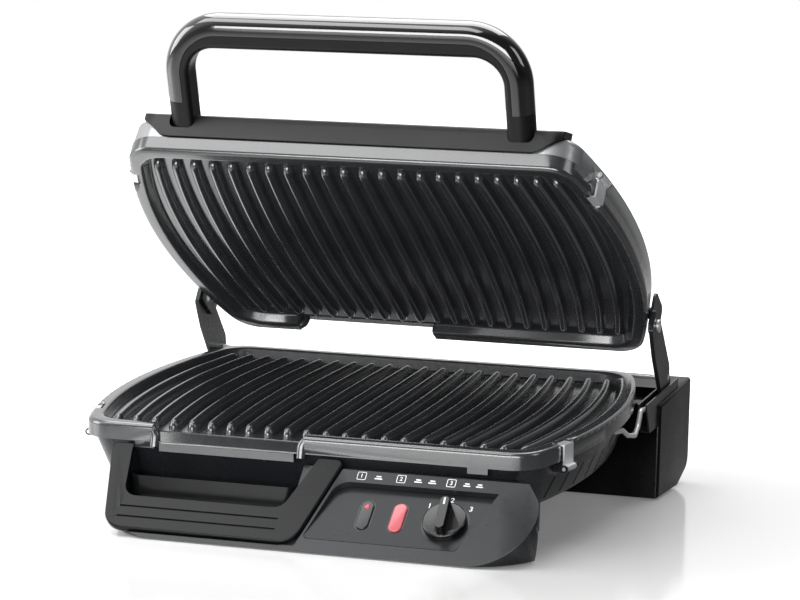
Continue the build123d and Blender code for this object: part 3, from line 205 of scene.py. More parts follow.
def finish(name, clean, worn, smooth, rough, grain, depth, patch=18.0, **constants):
    """Material from both groups: two colours, two roughnesses, grain size, depth and patch."""
    material = bpy.data.materials.new(name)
    material.use_nodes = True
    tree = material.node_tree
    shader = tree.nodes["Principled BSDF"]
    place = tree.nodes.new("ShaderNodeTexCoord")
    film = tree.nodes.new("ShaderNodeGroup")
    film.node_tree = film_group
    film.inputs["Clean"].default_value = (*clean, 1)
    film.inputs["Worn"].default_value = (*worn, 1)
    film.inputs["Smooth"].default_value = smooth
    film.inputs["Rough"].default_value = rough
    film.inputs["Patch Size"].default_value = patch
    grit = tree.nodes.new("ShaderNodeGroup")
    grit.node_tree = grain_group
    grit.inputs["Scale"].default_value = grain
    bump = add_node(tree, "ShaderNodeBump", Strength=BUMP_STRENGTH, Distance=depth * MM)
    tree.links.new(place.outputs["Object"], film.inputs["Vector"])
    tree.links.new(place.outputs["Object"], grit.inputs["Vector"])
    tree.links.new(film.outputs["Color"], shader.inputs["Base Color"])
    tree.links.new(film.outputs["Roughness"], shader.inputs["Roughness"])
    tree.links.new(grit.outputs["Height"], bump.inputs["Height"])
    tree.links.new(bump.outputs["Normal"], shader.inputs["Normal"])
    for label, value in constants.items():
        shader.inputs[label.replace("_", " ")].default_value = value
    finishes[name] = material
    return material


# %% [markdown]
# The plates carry a dark non-stick coating with a thin glossy skin, so that a white line runs
# along every rib. The housing is a dark grey plastic, the cover a lighter silver-grey metal, and
# the grip is polished black over a dull black core. The numbers are, in turn, the clean and the
# worn colour, the lowest and the highest roughness, the grain's fineness, its depth in
# millimetres and, for a few, the fineness of the film's patches.

# %% The grill's finishes
finish("plate_coating", (0.025, 0.0265, 0.029), (0.032, 0.034, 0.037), 0.19, 0.25, 1500, 0.002,
       30.0, Specular_IOR_Level=1.0, Coat_Weight=0.6, Coat_Roughness=0.14)
finish("housing_grey", (0.012, 0.013, 0.015), (0.015, 0.0165, 0.019), 0.24, 0.32, 1400, 0.005,
       Specular_IOR_Level=0.35)
finish("block_black", (0.003, 0.003, 0.0035), (0.005, 0.005, 0.006), 0.26, 0.36, 1200, 0.005,
       Specular_IOR_Level=0.15)
finish("cover_silver", (0.42, 0.43, 0.44), (0.44, 0.45, 0.46), 0.28, 0.31, 1400, 0.003,
       Metallic=0.85)
finish("grip_gloss", (0.003, 0.003, 0.003), (0.004, 0.004, 0.005), 0.08, 0.12, 400, 0.001,
       Coat_Weight=1.0, Coat_Roughness=0.05, Specular_IOR_Level=0.9)
finish("handle_black", (0.003, 0.003, 0.0035), (0.0045, 0.0045, 0.005), 0.34, 0.42, 1400, 0.006,
       Specular_IOR_Level=0.35)
finish("tray_black", (0.003, 0.0033, 0.0036), (0.005, 0.0055, 0.006), 0.22, 0.30, 1400, 0.005,
       Specular_IOR_Level=0.2)
finish("panel_black", (0.010, 0.011, 0.0125), (0.013, 0.0145, 0.0165), 0.26, 0.34, 1400, 0.004,
       Specular_IOR_Level=0.28)
finish("knob_black", (0.003, 0.003, 0.0035), (0.005, 0.005, 0.0055), 0.16, 0.24, 1400, 0.003)
finish("lamp_red", (0.44, 0.065, 0.085), (0.50, 0.09, 0.11), 0.14, 0.22, 300, 0.01, 60.0,
       Coat_Weight=0.3)
finish("lamp_dark", (0.015, 0.016, 0.018), (0.02, 0.021, 0.023), 0.22, 0.3, 300, 0.01, 60.0)
finish("chrome_wire", (0.80, 0.81, 0.83), (0.72, 0.73, 0.75), 0.20, 0.28, 500, 0.003, Metallic=0.6)
finish("hinge_steel", (0.030, 0.031, 0.033), (0.022, 0.023, 0.025), 0.24, 0.34, 800, 0.005,
       Metallic=0.5, Specular_IOR_Level=0.3)
finish("reflector_alu", (0.62, 0.63, 0.64), (0.5, 0.5, 0.52), 0.25, 0.4, 700, 0.02, Metallic=1.0)
finish("heater_steel", (0.07, 0.06, 0.055), (0.12, 0.09, 0.07), 0.4, 0.6, 900, 0.03, Metallic=0.8)
finish("liner_black", (0.014, 0.014, 0.015), (0.022, 0.022, 0.024), 0.5, 0.6, 1200, 0.04)
finish("foot_rubber", (0.010, 0.010, 0.010), (0.018, 0.018, 0.018), 0.7, 0.85, 1200, 0.05)
finish("print_white", (0.78, 0.79, 0.8), (0.66, 0.67, 0.68), 0.45, 0.55, 2600, 0.005)
finish("signal_red", (0.62, 0.02, 0.07), (0.7, 0.05, 0.1), 0.1, 0.18, 300, 0.005,
       Coat_Weight=0.6)
print("finishes:", len(finishes))

# %% [markdown]
# ## Dressing the solids
# Every piece needs a finish and a body to ride on, and where it stands for a solid, that solid
# has to be hidden. These could be done one by one, but `hand_over` does all three at once, so
# that no piece is left behind when a joint moves. The solids themselves first get the finish of
# their own slot, and a small flat piece needs no more than that.

# %% Functions that hand a piece over, and paint for the solids
def hand_over(piece, material, body, *nodes_replaced):
    """Gives a finished piece its material and body, and hides the solids that it stands for."""
    piece.data.materials.clear()
    piece.data.materials.append(finishes[material])
    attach(piece, body)
    if nodes_replaced:
        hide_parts(*nodes_replaced)
    return piece


def object_from(name, mesh):
    """Object at the origin that shows a mesh."""
    piece = bpy.data.objects.new(name, mesh)
    bpy.context.scene.collection.objects.link(piece)
    return piece


for node in sorted(cad_nodes):
    cad_nodes[node].data.materials.clear()
    cad_nodes[node].data.materials.append(finishes[slot_of[node]])
print("painted solids:", len(cad_nodes))

# %% [markdown]
# The solids come as loose triangles, so smooth shading alone can't round them. `smooth_copy`
# merges a copy of one, melts its flat faces together and shades it smooth only up to a chosen
# angle, so that rounded edges read as round and sharp ones stay sharp. The solids themselves
# stay as they are, since they are the measure for everything.

# %% Functions that make a smooth copy of a solid
ROUND_ANGLE = 32.0
FLAT_ANGLE = 0.2
MERGE = 1e-6
EDGE_PIECES = 2


def merged_mesh(node):
    """Copy of a solid's mesh with its triangles joined and its flat faces melted together."""
    bm = bmesh.new()
    bm.from_mesh(cad_nodes[node].data)
    bmesh.ops.remove_doubles(bm, verts=bm.verts, dist=MERGE)
    flat = math.radians(FLAT_ANGLE)
    bmesh.ops.dissolve_limit(bm, angle_limit=flat, verts=bm.verts, edges=bm.edges)
    return bm


def shade_round(mesh, angle=ROUND_ANGLE):
    """Smooth shading with creases kept at edges sharper than the angle."""
    mesh.shade_smooth()
    mesh.set_sharp_from_angle(angle=math.radians(angle))


def smooth_copy(node, bevel=0.0):
    """Smooth-shaded stand-in for one solid, with its edges broken where bevel is given."""
    bm = merged_mesh(node)
    mesh = bpy.data.meshes.new(node + "_dressed")
    bm.to_mesh(mesh)
    bm.free()
    shade_round(mesh)
    piece = object_from(node + "_dressed", mesh)
    if bevel:
        edge = piece.modifiers.new("broken edge", "BEVEL")
        edge.width = bevel * MM
        edge.segments = EDGE_PIECES
        edge.limit_method = "ANGLE"
        edge.angle_limit = math.radians(ROUND_ANGLE)
        edge.harden_normals = True
    return hand_over(piece, slot_of[node], body_of[node], node)


# %% [markdown]
# ## The camera
# A long lens from the right and a little above, as product photographers use: it keeps the
# long edges nearly parallel, while a short lens close by would swell the front. Its place was
# found by matching the plates' corners.

# %% Camera
CAMERA_PLACE = (0.6273, -1.8620, 0.3461)
CAMERA_AZIMUTH = 18.25
CAMERA_DROP = 6.10
CAMERA_ROLL = 1.59
CAMERA_LENS = 134.8
CAMERA_SENSOR = 36.0
CAMERA_NEAR = 0.05

camera = bpy.data.objects.new("camera", bpy.data.cameras.new("camera"))
bpy.context.scene.collection.objects.link(camera)
camera.data.lens = CAMERA_LENS
camera.data.sensor_width = CAMERA_SENSOR
turn = Matrix.Rotation(math.radians(CAMERA_AZIMUTH), 4, "Z")
pitch = Matrix.Rotation(math.radians(90 - CAMERA_DROP), 4, "X")
roll = Matrix.Rotation(math.radians(CAMERA_ROLL), 4, "Z")
camera.matrix_world = Matrix.Translation(CAMERA_PLACE) @ turn @ pitch @ roll
camera.data.clip_start = CAMERA_NEAR
bpy.context.scene.camera = camera
print("camera at", CAMERA_PLACE)

# %% [markdown]
# ## Light, floor and backdrop
# The grill stands on a white table that mirrors it faintly. One large plane is enough for it,
# because its edge is never in view. It is nearly as smooth as lacquer, so that the feet and
# the block show in it.

# %% Floor
FLOOR_HALF = 6.0
FLOOR_ROUGHNESS = 0.12
FLOOR_SPECULAR = 0.3

floor_mesh = bpy.data.meshes.new("floor")
corners = [(-FLOOR_HALF, -FLOOR_HALF, 0), (FLOOR_HALF, -FLOOR_HALF, 0)]
corners += [(FLOOR_HALF, FLOOR_HALF, 0), (-FLOOR_HALF, FLOOR_HALF, 0)]
floor_mesh.from_pydata(corners, [], [(0, 1, 2, 3)])
floor = object_from("floor", floor_mesh)
floor_white = bpy.data.materials.new("floor_white")
floor_white.use_nodes = True
floor_tree = floor_white.node_tree
floor_shader = floor_tree.nodes["Principled BSDF"]
floor_shader.inputs["Roughness"].default_value = FLOOR_ROUGHNESS
floor_shader.inputs["Specular IOR Level"].default_value = FLOOR_SPECULAR
floor_shader.inputs["Emission Color"].default_value = (1, 1, 1, 1)
floor_mesh.materials.append(floor_white)
print("floor half:", FLOOR_HALF)

# %% [markdown]
# A plain white table would be mirrored by the black pieces and turn them grey. So the table is
# white to the camera, and in mirrors it is dark in front of the grill and to its right. The
# camera sees its paint darker than it is, which leaves room for the shadow, and a glow that
# grows with the distance lets it fade into the white room without a horizon.

# %% Floor as the camera and the mirrors see it
FLOOR_WHITE = 0.93
FLOOR_SEEN = 0.60
GLOW_NEAR, GLOW_FAR = 0.12, 0.8
GLOW_FROM, GLOW_UNTIL = 0.27, 0.75
MIRROR_FRONT, MIRROR_REAR, MIRROR_RIGHT = 0.10, 0.90, 0.12
REAR_FROM, REAR_UNTIL = -0.75, -0.10
RIGHT_FROM, RIGHT_UNTIL = 0.10, 0.22

soft = {"interpolation_type": "SMOOTHSTEP"}
floor_paths = floor_tree.nodes.new("ShaderNodeLightPath")
floor_place = floor_tree.nodes.new("ShaderNodeTexCoord")
floor_axes = floor_tree.nodes.new("ShaderNodeSeparateXYZ")
away = add_node(floor_tree, "ShaderNodeVectorMath", operation="LENGTH")
rise = ramp(floor_tree, GLOW_FROM, GLOW_UNTIL, GLOW_NEAR, GLOW_FAR, **soft)
glow = add_node(floor_tree, "ShaderNodeMath", operation="MULTIPLY")
rearwards = ramp(floor_tree, REAR_FROM, REAR_UNTIL, MIRROR_FRONT, MIRROR_REAR, **soft)
rightwards = ramp(floor_tree, RIGHT_FROM, RIGHT_UNTIL, 1.0, MIRROR_RIGHT, **soft)
mirrored = add_node(floor_tree, "ShaderNodeMath", operation="MULTIPLY")
seen = add_node(floor_tree, "ShaderNodeMath", operation="MULTIPLY")
seen.inputs[1].default_value = FLOOR_SEEN
shade_seen = add_node(floor_tree, "ShaderNodeMath", operation="MAXIMUM")
floor_tint = add_node(floor_tree, "ShaderNodeMix", data_type="RGBA")
floor_tint.inputs[6].default_value = (0, 0, 0, 1)
floor_tint.inputs[7].default_value = (FLOOR_WHITE, FLOOR_WHITE, FLOOR_WHITE, 1)
link = floor_tree.links.new
link(floor_place.outputs["Object"], floor_axes.inputs[0])
link(floor_place.outputs["Object"], away.inputs[0])
link(away.outputs["Value"], rise.inputs["Value"])
link(floor_paths.outputs["Is Camera Ray"], glow.inputs[0])
link(rise.outputs[0], glow.inputs[1])
link(glow.outputs[0], floor_shader.inputs["Emission Strength"])
link(floor_axes.outputs["Y"], rearwards.inputs["Value"])
link(floor_axes.outputs["X"], rightwards.inputs["Value"])
link(rearwards.outputs[0], mirrored.inputs[0])
link(rightwards.outputs[0], mirrored.inputs[1])
link(floor_paths.outputs["Is Camera Ray"], seen.inputs[0])
link(mirrored.outputs[0], shade_seen.inputs[0])
link(seen.outputs[0], shade_seen.inputs[1])
link(shade_seen.outputs[0], floor_tint.inputs["Factor"])
link(floor_tint.outputs[2], floor_shader.inputs["Base Color"])
print("floor tree:", len(floor_tree.nodes), "nodes")

# %% [markdown]
# The room is white to the camera. To everything else it is bright only from the upper left,
# so that black pieces stay black and metal has something to mirror. A picture of a studio could
# light the grill too, but a dot product with one direction needs no file and is easy to turn.

# %% World
WORLD_DARK = 0.07
WORLD_BRIGHT = 0.95
BRIGHT_SIDE = (-0.75, 0.30, 0.59)
FACING_DARK, FACING_BRIGHT = -0.05, 0.75
bpy.context.scene.view_settings.view_transform = "Standard"
world = bpy.data.worlds.new("studio")
bpy.context.scene.world = world
world.use_nodes = True
world_tree = world.node_tree
background = world_tree.nodes["Background"]
background.inputs["Color"].default_value = (1, 1, 1, 1)
paths = world_tree.nodes.new("ShaderNodeLightPath")
direction = world_tree.nodes.new("ShaderNodeTexCoord")
facing = add_node(world_tree, "ShaderNodeVectorMath", operation="DOT_PRODUCT")
facing.inputs[1].default_value = BRIGHT_SIDE
room = ramp(world_tree, FACING_DARK, FACING_BRIGHT, WORLD_DARK, WORLD_BRIGHT, **soft)
level = add_node(world_tree, "ShaderNodeMath", operation="MAXIMUM")
link = world_tree.links.new
link(direction.outputs["Generated"], facing.inputs[0])
link(facing.outputs["Value"], room.inputs["Value"])
link(room.outputs[0], level.inputs[0])
link(paths.outputs["Is Camera Ray"], level.inputs[1])
link(level.outputs[0], background.inputs["Strength"])
print("room from", WORLD_DARK, "to", WORLD_BRIGHT)


# %% [markdown]
# Large soft lamps do what a studio's softboxes do, where small ones would draw hard spots on
# the gloss. One overhead draws the wide line along the handle and the thin lines on the ribs,
# one low in front opens up the underside of the lid, and the others fill in.

# %% Lamps
def soft_lamp(name, place, aim, size, power):
    """Rectangular soft lamp at a place, facing a point."""
    lamp = bpy.data.objects.new(name, bpy.data.lights.new(name, "AREA"))
    bpy.context.scene.collection.objects.link(lamp)
    lamp.data.shape = "RECTANGLE"
    lamp.data.size, lamp.data.size_y = size
    lamp.data.energy = power
    lamp.location = place
    toward = Vector(aim) - Vector(place)
    lamp.rotation_euler = toward.to_track_quat("-Z", "Y").to_euler()
    return lamp


soft_lamp("key_box", (-0.45, -0.75, 1.30), (0, -0.05, 0.2), (1.5, 0.55), 9.0)
soft_lamp("top_box", (-0.1, 0.45, 1.5), (0, 0, 0.1), (1.6, 1.3), 27.0)
soft_lamp("front_box", (0.1, -1.7, 0.30), (0, 0, 0.15), (1.8, 0.5), 24.0)
soft_lamp("left_box", (-1.5, -0.4, 0.6), (0, 0, 0.15), (0.8, 0.9), 10.0)
soft_lamp("right_box", (1.5, -0.2, 0.9), (0, 0, 0.15), (0.5, 0.8), 3.0)
print("lamps:", len(bpy.data.lights))

# %% [markdown]
# ## Geometry Nodes helpers
# A node tree is a recipe with named inputs. The same shapes could be made by mesh code alone,
# but a tree can be opened in Blender and its numbers moved. `geometry_tree` makes an empty one
# and `calc` chains the sums.

# %% Functions that start a geometry tree and do its sums
INTEGER, MATERIAL, GEOMETRY = "NodeSocketInt", "NodeSocketMaterial", "NodeSocketGeometry"


def geometry_tree(name, inputs):
    """Empty geometry tree with a geometry input and output and the named inputs."""
    tree = bpy.data.node_groups.new(name, "GeometryNodeTree")
    tree.interface.new_socket(name="Geometry", in_out="INPUT", socket_type=GEOMETRY)
    for label, kind, default in inputs:
        socket = tree.interface.new_socket(name=label, in_out="INPUT", socket_type=kind)
        if default is not None:
            socket.default_value = default
    tree.interface.new_socket(name="Geometry", in_out="OUTPUT", socket_type=GEOMETRY)
    return tree, tree.nodes.new("NodeGroupInput"), tree.nodes.new("NodeGroupOutput")


def calc(tree, operation, *values):
    """Math node fed by numbers or sockets; gives its output socket."""
    node = add_node(tree, "ShaderNodeMath", operation=operation)
    for place, value in enumerate(values):
        if isinstance(value, (int, float)):
            node.inputs[place].default_value = value
        else:
            tree.links.new(value, node.inputs[place])
    return node.outputs[0]


# %% [markdown]
# Copies in a tree are instances, and the export leaves those out. `close_tree` therefore ends a
# tree with Realize Instances and the material. `baked` runs a tree on a carrier object, keeps
# the plain mesh that comes out and lays it on its plane, so that the finished piece needs
# neither the tree nor the carrier.

# %% Functions that end a geometry tree and keep its mesh
def close_tree(tree, end, mesh_socket, material_socket):
    """Ends a tree: real geometry with one material."""
    real = tree.nodes.new("GeometryNodeRealizeInstances")
    coat = tree.nodes.new("GeometryNodeSetMaterial")
    tree.links.new(mesh_socket, real.inputs[0])
    tree.links.new(real.outputs[0], coat.inputs["Geometry"])
    tree.links.new(material_socket, coat.inputs["Material"])
    tree.links.new(coat.outputs[0], end.inputs[0])


def baked(name, tree, carrier_data, place, **values):
    """Runs a tree on a carrier and returns a plain mesh object, laid on its plane."""
    carrier = object_from(name + "_carrier", carrier_data)
    run = carrier.modifiers.new("tree", "NODES")
    run.node_group = tree
    for item in tree.interface.items_tree:
        label = item.name.replace(" ", "_")
        if item.in_out == "INPUT" and label in values:
            run[item.identifier] = values[label]
    bpy.context.view_layer.update()
    shown = carrier.evaluated_get(bpy.context.evaluated_depsgraph_get())
    mesh = bpy.data.meshes.new_from_object(shown)
    mesh.name = name
    bpy.data.objects.remove(carrier)
    mesh.transform(place)
    return object_from(name, mesh)


# %% [markdown]
# ## Ribs on the two plates
# Twenty-two ribs bow outwards the further they stand from the middle. They could be extruded
# one by one, but a rule draws them all: one straight line is repeated, each copy is bent by its
# own share, and a rounded ridge is swept along it. First come the row of lines and its inputs.

# %% Geometry tree: a row of lines
RIB_POINTS = 41
RIB_SIDES = 20

rib_tree, start, end = geometry_tree(
    "bowed ribs",
    [
        ("Count", INTEGER, 22),
        ("Half Length", VALUE, 0.1045),
        ("End Half", VALUE, 0.134),
        ("Bow", VALUE, 0.0115),
        ("Foot Half", VALUE, 0.0038),
        ("Foot Sunk", VALUE, 0.0006),
        ("Height", VALUE, 0.006),
        ("Squareness", VALUE, 0.8),
        ("Waist", VALUE, 0.26),
        ("Tip", VALUE, 0.005),
        ("Material", MATERIAL, None),
    ],
)
link = rib_tree.links.new
line = rib_tree.nodes.new("GeometryNodeCurvePrimitiveLine")
line.inputs["Start"].default_value = (0, -1, 0)
line.inputs["End"].default_value = (0, 1, 0)
fine = add_node(rib_tree, "GeometryNodeResampleCurve", Count=RIB_POINTS)
row = rib_tree.nodes.new("GeometryNodeMeshLine")
copies = rib_tree.nodes.new("GeometryNodeInstanceOnPoints")
loose = rib_tree.nodes.new("GeometryNodeRealizeInstances")
row.inputs["Offset"].default_value = (0, 0, 0)
link(start.outputs["Count"], row.inputs["Count"])
link(line.outputs[0], fine.inputs["Curve"])
link(row.outputs[0], copies.inputs["Points"])
link(fine.outputs[0], copies.inputs["Instance"])
link(copies.outputs[0], loose.inputs[0])
print("lines of", RIB_POINTS, "points")

# %% [markdown]
# Every line still lies on the same spot. Its number in the row gives its share, from minus one
# at the left to plus one at the right. A sine spreads the points so that they crowd near the
# ends, where the rib is rounded, and one minus its square gives the belly of the bow.

# %% Geometry tree: spread and bend the lines
which = rib_tree.nodes.new("GeometryNodeCurveOfPoint")
here = rib_tree.nodes.new("GeometryNodeInputPosition")
split_here = rib_tree.nodes.new("ShaderNodeSeparateXYZ")
link(here.outputs[0], split_here.inputs[0])
last = calc(rib_tree, "SUBTRACT", start.outputs["Count"], 1)
share = calc(rib_tree, "DIVIDE", which.outputs["Curve Index"], last)
share = calc(rib_tree, "MULTIPLY_ADD", share, 2, -1)
quarter_turn = calc(rib_tree, "MULTIPLY", split_here.outputs["Y"], math.pi / 2)
eased = calc(rib_tree, "SINE", quarter_turn)
belly = calc(rib_tree, "SUBTRACT", 1, calc(rib_tree, "MULTIPLY", eased, eased))
out = calc(rib_tree, "MULTIPLY_ADD", belly, start.outputs["Bow"], start.outputs["End Half"])
across = calc(rib_tree, "MULTIPLY", share, out)
along = calc(rib_tree, "MULTIPLY", eased, start.outputs["Half Length"])
spot = rib_tree.nodes.new("ShaderNodeCombineXYZ")
link(across, spot.inputs["X"])
link(along, spot.inputs["Y"])
bend = rib_tree.nodes.new("GeometryNodeSetPosition")
link(loose.outputs[0], bend.inputs["Geometry"])
link(spot.outputs[0], bend.inputs["Position"])
print("nodes up to the bent lines:", len(rib_tree.nodes))

# %% [markdown]
# A casting has no sharp ends, since metal would stick in the mould there. The ridge shrinks
# towards each tip like a quarter circle, which is the square root of one minus a square. It
# stops just short of nothing, so that the last ring still closes.

# %% Geometry tree: how the tips shrink
TIP_LIMIT = 0.985

reach = rib_tree.nodes.new("GeometryNodeInputPosition")
split_reach = rib_tree.nodes.new("ShaderNodeSeparateXYZ")
link(reach.outputs[0], split_reach.inputs[0])
from_end = calc(rib_tree, "ABSOLUTE", split_reach.outputs["Y"])
flat_until = calc(rib_tree, "SUBTRACT", start.outputs["Half Length"], start.outputs["Tip"])
over = calc(rib_tree, "MAXIMUM", calc(rib_tree, "SUBTRACT", from_end, flat_until), 0)
over = calc(rib_tree, "DIVIDE", over, start.outputs["Tip"])
over = calc(rib_tree, "MINIMUM", over, TIP_LIMIT)
left_over = calc(rib_tree, "SUBTRACT", 1, calc(rib_tree, "MULTIPLY", over, over))
radius = calc(rib_tree, "SQRT", left_over)
print("last ring:", round(math.sqrt(1 - TIP_LIMIT ** 2), 3), "of the full section")

# %% [markdown]
# The section starts as a circle. A power below one squares it a little, the waist narrows the
# crest, and the lower half is pressed flat just under the floor, where nobody sees it. The
# curve's own up points down on this path, so the height is turned over at the end.

# %% Geometry tree: section and sweep
ring = add_node(rib_tree, "GeometryNodeCurvePrimitiveCircle", Resolution=RIB_SIDES)
ring.inputs["Radius"].default_value = 1.0
ring_spot = rib_tree.nodes.new("GeometryNodeInputPosition")
split_ring = rib_tree.nodes.new("ShaderNodeSeparateXYZ")
link(ring_spot.outputs[0], split_ring.inputs[0])
side = calc(rib_tree, "ABSOLUTE", split_ring.outputs["X"])
side = calc(rib_tree, "POWER", side, start.outputs["Squareness"])
side = calc(rib_tree, "MULTIPLY", side, calc(rib_tree, "SIGN", split_ring.outputs["X"]))
up = calc(rib_tree, "MAXIMUM", split_ring.outputs["Y"], 0)
up = calc(rib_tree, "POWER", up, start.outputs["Squareness"])
taper = calc(rib_tree, "SUBTRACT", 1, calc(rib_tree, "MULTIPLY", up, start.outputs["Waist"]))
wide = calc(rib_tree, "MULTIPLY", side, taper)
wide = calc(rib_tree, "MULTIPLY", wide, start.outputs["Foot Half"])
sink = calc(rib_tree, "MINIMUM", split_ring.outputs["Y"], 0)
sink = calc(rib_tree, "MULTIPLY", sink, start.outputs["Foot Sunk"])
tall = calc(rib_tree, "MULTIPLY_ADD", up, start.outputs["Height"], sink)
tall = calc(rib_tree, "MULTIPLY", tall, -1)
profile_spot = rib_tree.nodes.new("ShaderNodeCombineXYZ")
link(wide, profile_spot.inputs["X"])
link(tall, profile_spot.inputs["Y"])
profile = rib_tree.nodes.new("GeometryNodeSetPosition")
link(ring.outputs[0], profile.inputs["Geometry"])
link(profile_spot.outputs[0], profile.inputs["Position"])
upright = add_node(rib_tree, "GeometryNodeSetCurveNormal", mode="Z_UP")
link(bend.outputs[0], upright.inputs["Curve"])
skin = add_node(rib_tree, "GeometryNodeCurveToMesh", Fill_Caps=True)
link(upright.outputs[0], skin.inputs["Curve"])
link(profile.outputs[0], skin.inputs["Profile Curve"])
link(radius, skin.inputs["Scale"])
close_tree(rib_tree, end, skin.outputs[0], start.outputs["Material"])
print("rib tree:", len(rib_tree.nodes), "nodes")

# %% [markdown]
# Both castings have the same field of ribs, so both use the same tree with the same values.
# Only the plane and the body that they ride on differ. The sizes are those of the solids.

# %% Ribs for both plates
RIB_COUNT = 22
RIB_END_HALF = 133.9
RIB_BOW = 11.5
RIB_HALF_LENGTH = 104.4
RIB_HIGH = 6.0
FLOOR_LEVEL = -3.0
RIB_SMOOTH_ANGLE = 50


def ribs(name, plane, body):
    """All ribs of one plate as one mesh standing on the plate's floor."""
    floor_plane = plane @ Matrix.Translation((0, 0, FLOOR_LEVEL * MM))
    blank = bpy.data.meshes.new(name + "_blank")
    piece = baked(name, rib_tree, blank, floor_plane, Count=RIB_COUNT,
                  Half_Length=RIB_HALF_LENGTH * MM, End_Half=RIB_END_HALF * MM,
                  Bow=RIB_BOW * MM, Height=RIB_HIGH * MM, Material=finishes["plate_coating"])
    shade_round(piece.data, RIB_SMOOTH_ANGLE)
    size = [round(v, 4) for v in piece.dimensions]
    print(name, "faces:", len(piece.data.polygons), "box:", size)
    return hand_over(piece, "plate_coating", body)


ribs("lower_ribs", COOK_PLANE, "lower_grill_plate")
ribs("upper_ribs", UNDER_LID_PLANE, "upper_grill_plate")

# %% [markdown]
# ## The cast plates
# The casting's rim, spout and floor come from the solid, which has them at their true sizes.
# Its plain ribs are cut out of the copy and their footprints closed, so that the swept ribs
# above stand alone on a clean floor. Drawing the whole casting anew would risk a looser fit.

# %% Plate bodies without their plain ribs
RIB_ZONE = 5.0
RIB_END_ZONE = 1.0
FLOOR_SKIN = 0.02
CASTING_ANGLE = 40.0


def in_rib_field(spot):
    """True where a point of the flat plate lies among the ribs."""
    if abs(spot.y) > (RIB_HALF_LENGTH + RIB_END_ZONE) * MM:
        return False
    belly = 1 - (spot.y / (RIB_HALF_LENGTH * MM)) ** 2
    return abs(spot.x) < (RIB_END_HALF + RIB_BOW * max(belly, 0) + RIB_ZONE) * MM


def plate_body(node, plane):
    """Copy of a casting with its ribs cut away and the floor closed under them."""
    bm = merged_mesh(node)
    flat = plane.inverted()
    doomed = []
    for face in bm.faces:
        above = (flat @ face.calc_center_median()).z > (FLOOR_LEVEL + FLOOR_SKIN) * MM
        if above and all(in_rib_field(flat @ corner.co) for corner in face.verts):
            doomed.append(face)
    bmesh.ops.delete(bm, geom=doomed, context="FACES")
    rims = [edge for edge in bm.edges if edge.is_boundary]
    bmesh.ops.holes_fill(bm, edges=rims, sides=0)
    loose_edges = [edge for edge in bm.edges if edge.is_wire]
    bmesh.ops.delete(bm, geom=loose_edges, context="EDGES")
    bmesh.ops.recalc_face_normals(bm, faces=bm.faces)
    still_open = sum(1 for edge in bm.edges if edge.is_boundary)
    print(node, "faces cut:", len(doomed), "rim edges:", len(rims), "open:", still_open)
    mesh = bpy.data.meshes.new(node + "_dressed")
    bm.to_mesh(mesh)
    bm.free()
    shade_round(mesh, CASTING_ANGLE)
    return hand_over(object_from(node + "_dressed", mesh), "plate_coating", body_of[node], node)


plate_body("lower_plate", COOK_PLANE)
plate_body("upper_plate", UNDER_LID_PLANE)

# %% [markdown]
# ## The handle
# The loop is one moulding with a glossy outer skin. The skin is a band of the same section all
# the way round, which is what a sweep does best: a path with filleted corners, and a profile
# whose two outer corners are much rounder than the two that lie on the core. A tree of its own
# keeps the corner, the thickness and both rounds open to change.

# %% Geometry tree: bent bar
CORNER_STEPS = 24
ROUND_STEPS = 6

bar_tree, start, end = geometry_tree(
    "bent bar",
    [
        ("Corner", VALUE, 0.036),
        ("Thickness", VALUE, 0.0085),
        ("Depth", VALUE, 0.019),
        ("Outer Round", VALUE, 0.004),
        ("Inner Round", VALUE, 0.0004),
        ("Material", MATERIAL, None),
    ],
)
link = bar_tree.links.new
bent = add_node(bar_tree, "GeometryNodeFilletCurve", mode="POLY", Count=CORNER_STEPS)
link(start.outputs["Geometry"], bent.inputs["Curve"])
link(start.outputs["Corner"], bent.inputs["Radius"])
section = bar_tree.nodes.new("GeometryNodeCurvePrimitiveQuadrilateral")
link(start.outputs["Thickness"], section.inputs["Width"])
link(start.outputs["Depth"], section.inputs["Height"])
corner_spot = bar_tree.nodes.new("GeometryNodeInputPosition")
split_corner = bar_tree.nodes.new("ShaderNodeSeparateXYZ")
link(corner_spot.outputs[0], split_corner.inputs[0])
outside = calc(bar_tree, "GREATER_THAN", split_corner.outputs["X"], 0)
extra = calc(bar_tree, "SUBTRACT", start.outputs["Outer Round"], start.outputs["Inner Round"])
corner_round = calc(bar_tree, "MULTIPLY_ADD", outside, extra, start.outputs["Inner Round"])
rounded = add_node(bar_tree, "GeometryNodeFilletCurve", mode="POLY", Count=ROUND_STEPS)
link(section.outputs[0], rounded.inputs["Curve"])
link(corner_round, rounded.inputs["Radius"])
steady = add_node(bar_tree, "GeometryNodeSetCurveNormal", mode="Z_UP")
link(bent.outputs[0], steady.inputs["Curve"])
skin = add_node(bar_tree, "GeometryNodeCurveToMesh", Fill_Caps=True)
link(steady.outputs[0], skin.inputs["Curve"])
link(rounded.outputs[0], skin.inputs["Profile Curve"])
close_tree(bar_tree, end, skin.outputs[0], start.outputs["Material"])
print("bar tree:", len(bar_tree.nodes), "nodes")

# %% [markdown]
# The path is only four points, an arch standing on the lid. Its line runs through the middle
# of the skin, so half the skin's thickness is taken off the handle's own width, height and
# corner. The skin starts above the feet and leaves the lowest part of the legs dull.

# %% Glossy skin of the handle
HANDLE_HALF = 122.0
HANDLE_TALL = 82.0
HANDLE_CORNER = 40.0
HANDLE_DEEP = 19.0
HANDLE_ROUND = 4.0
GRIP_ROUND = 9.0
GRIP_SKIN = 12.0
GRIP_START = 24.0
GRIP_INNER_ROUND = 0.3
GRIP_SMOOTH_ANGLE = 40


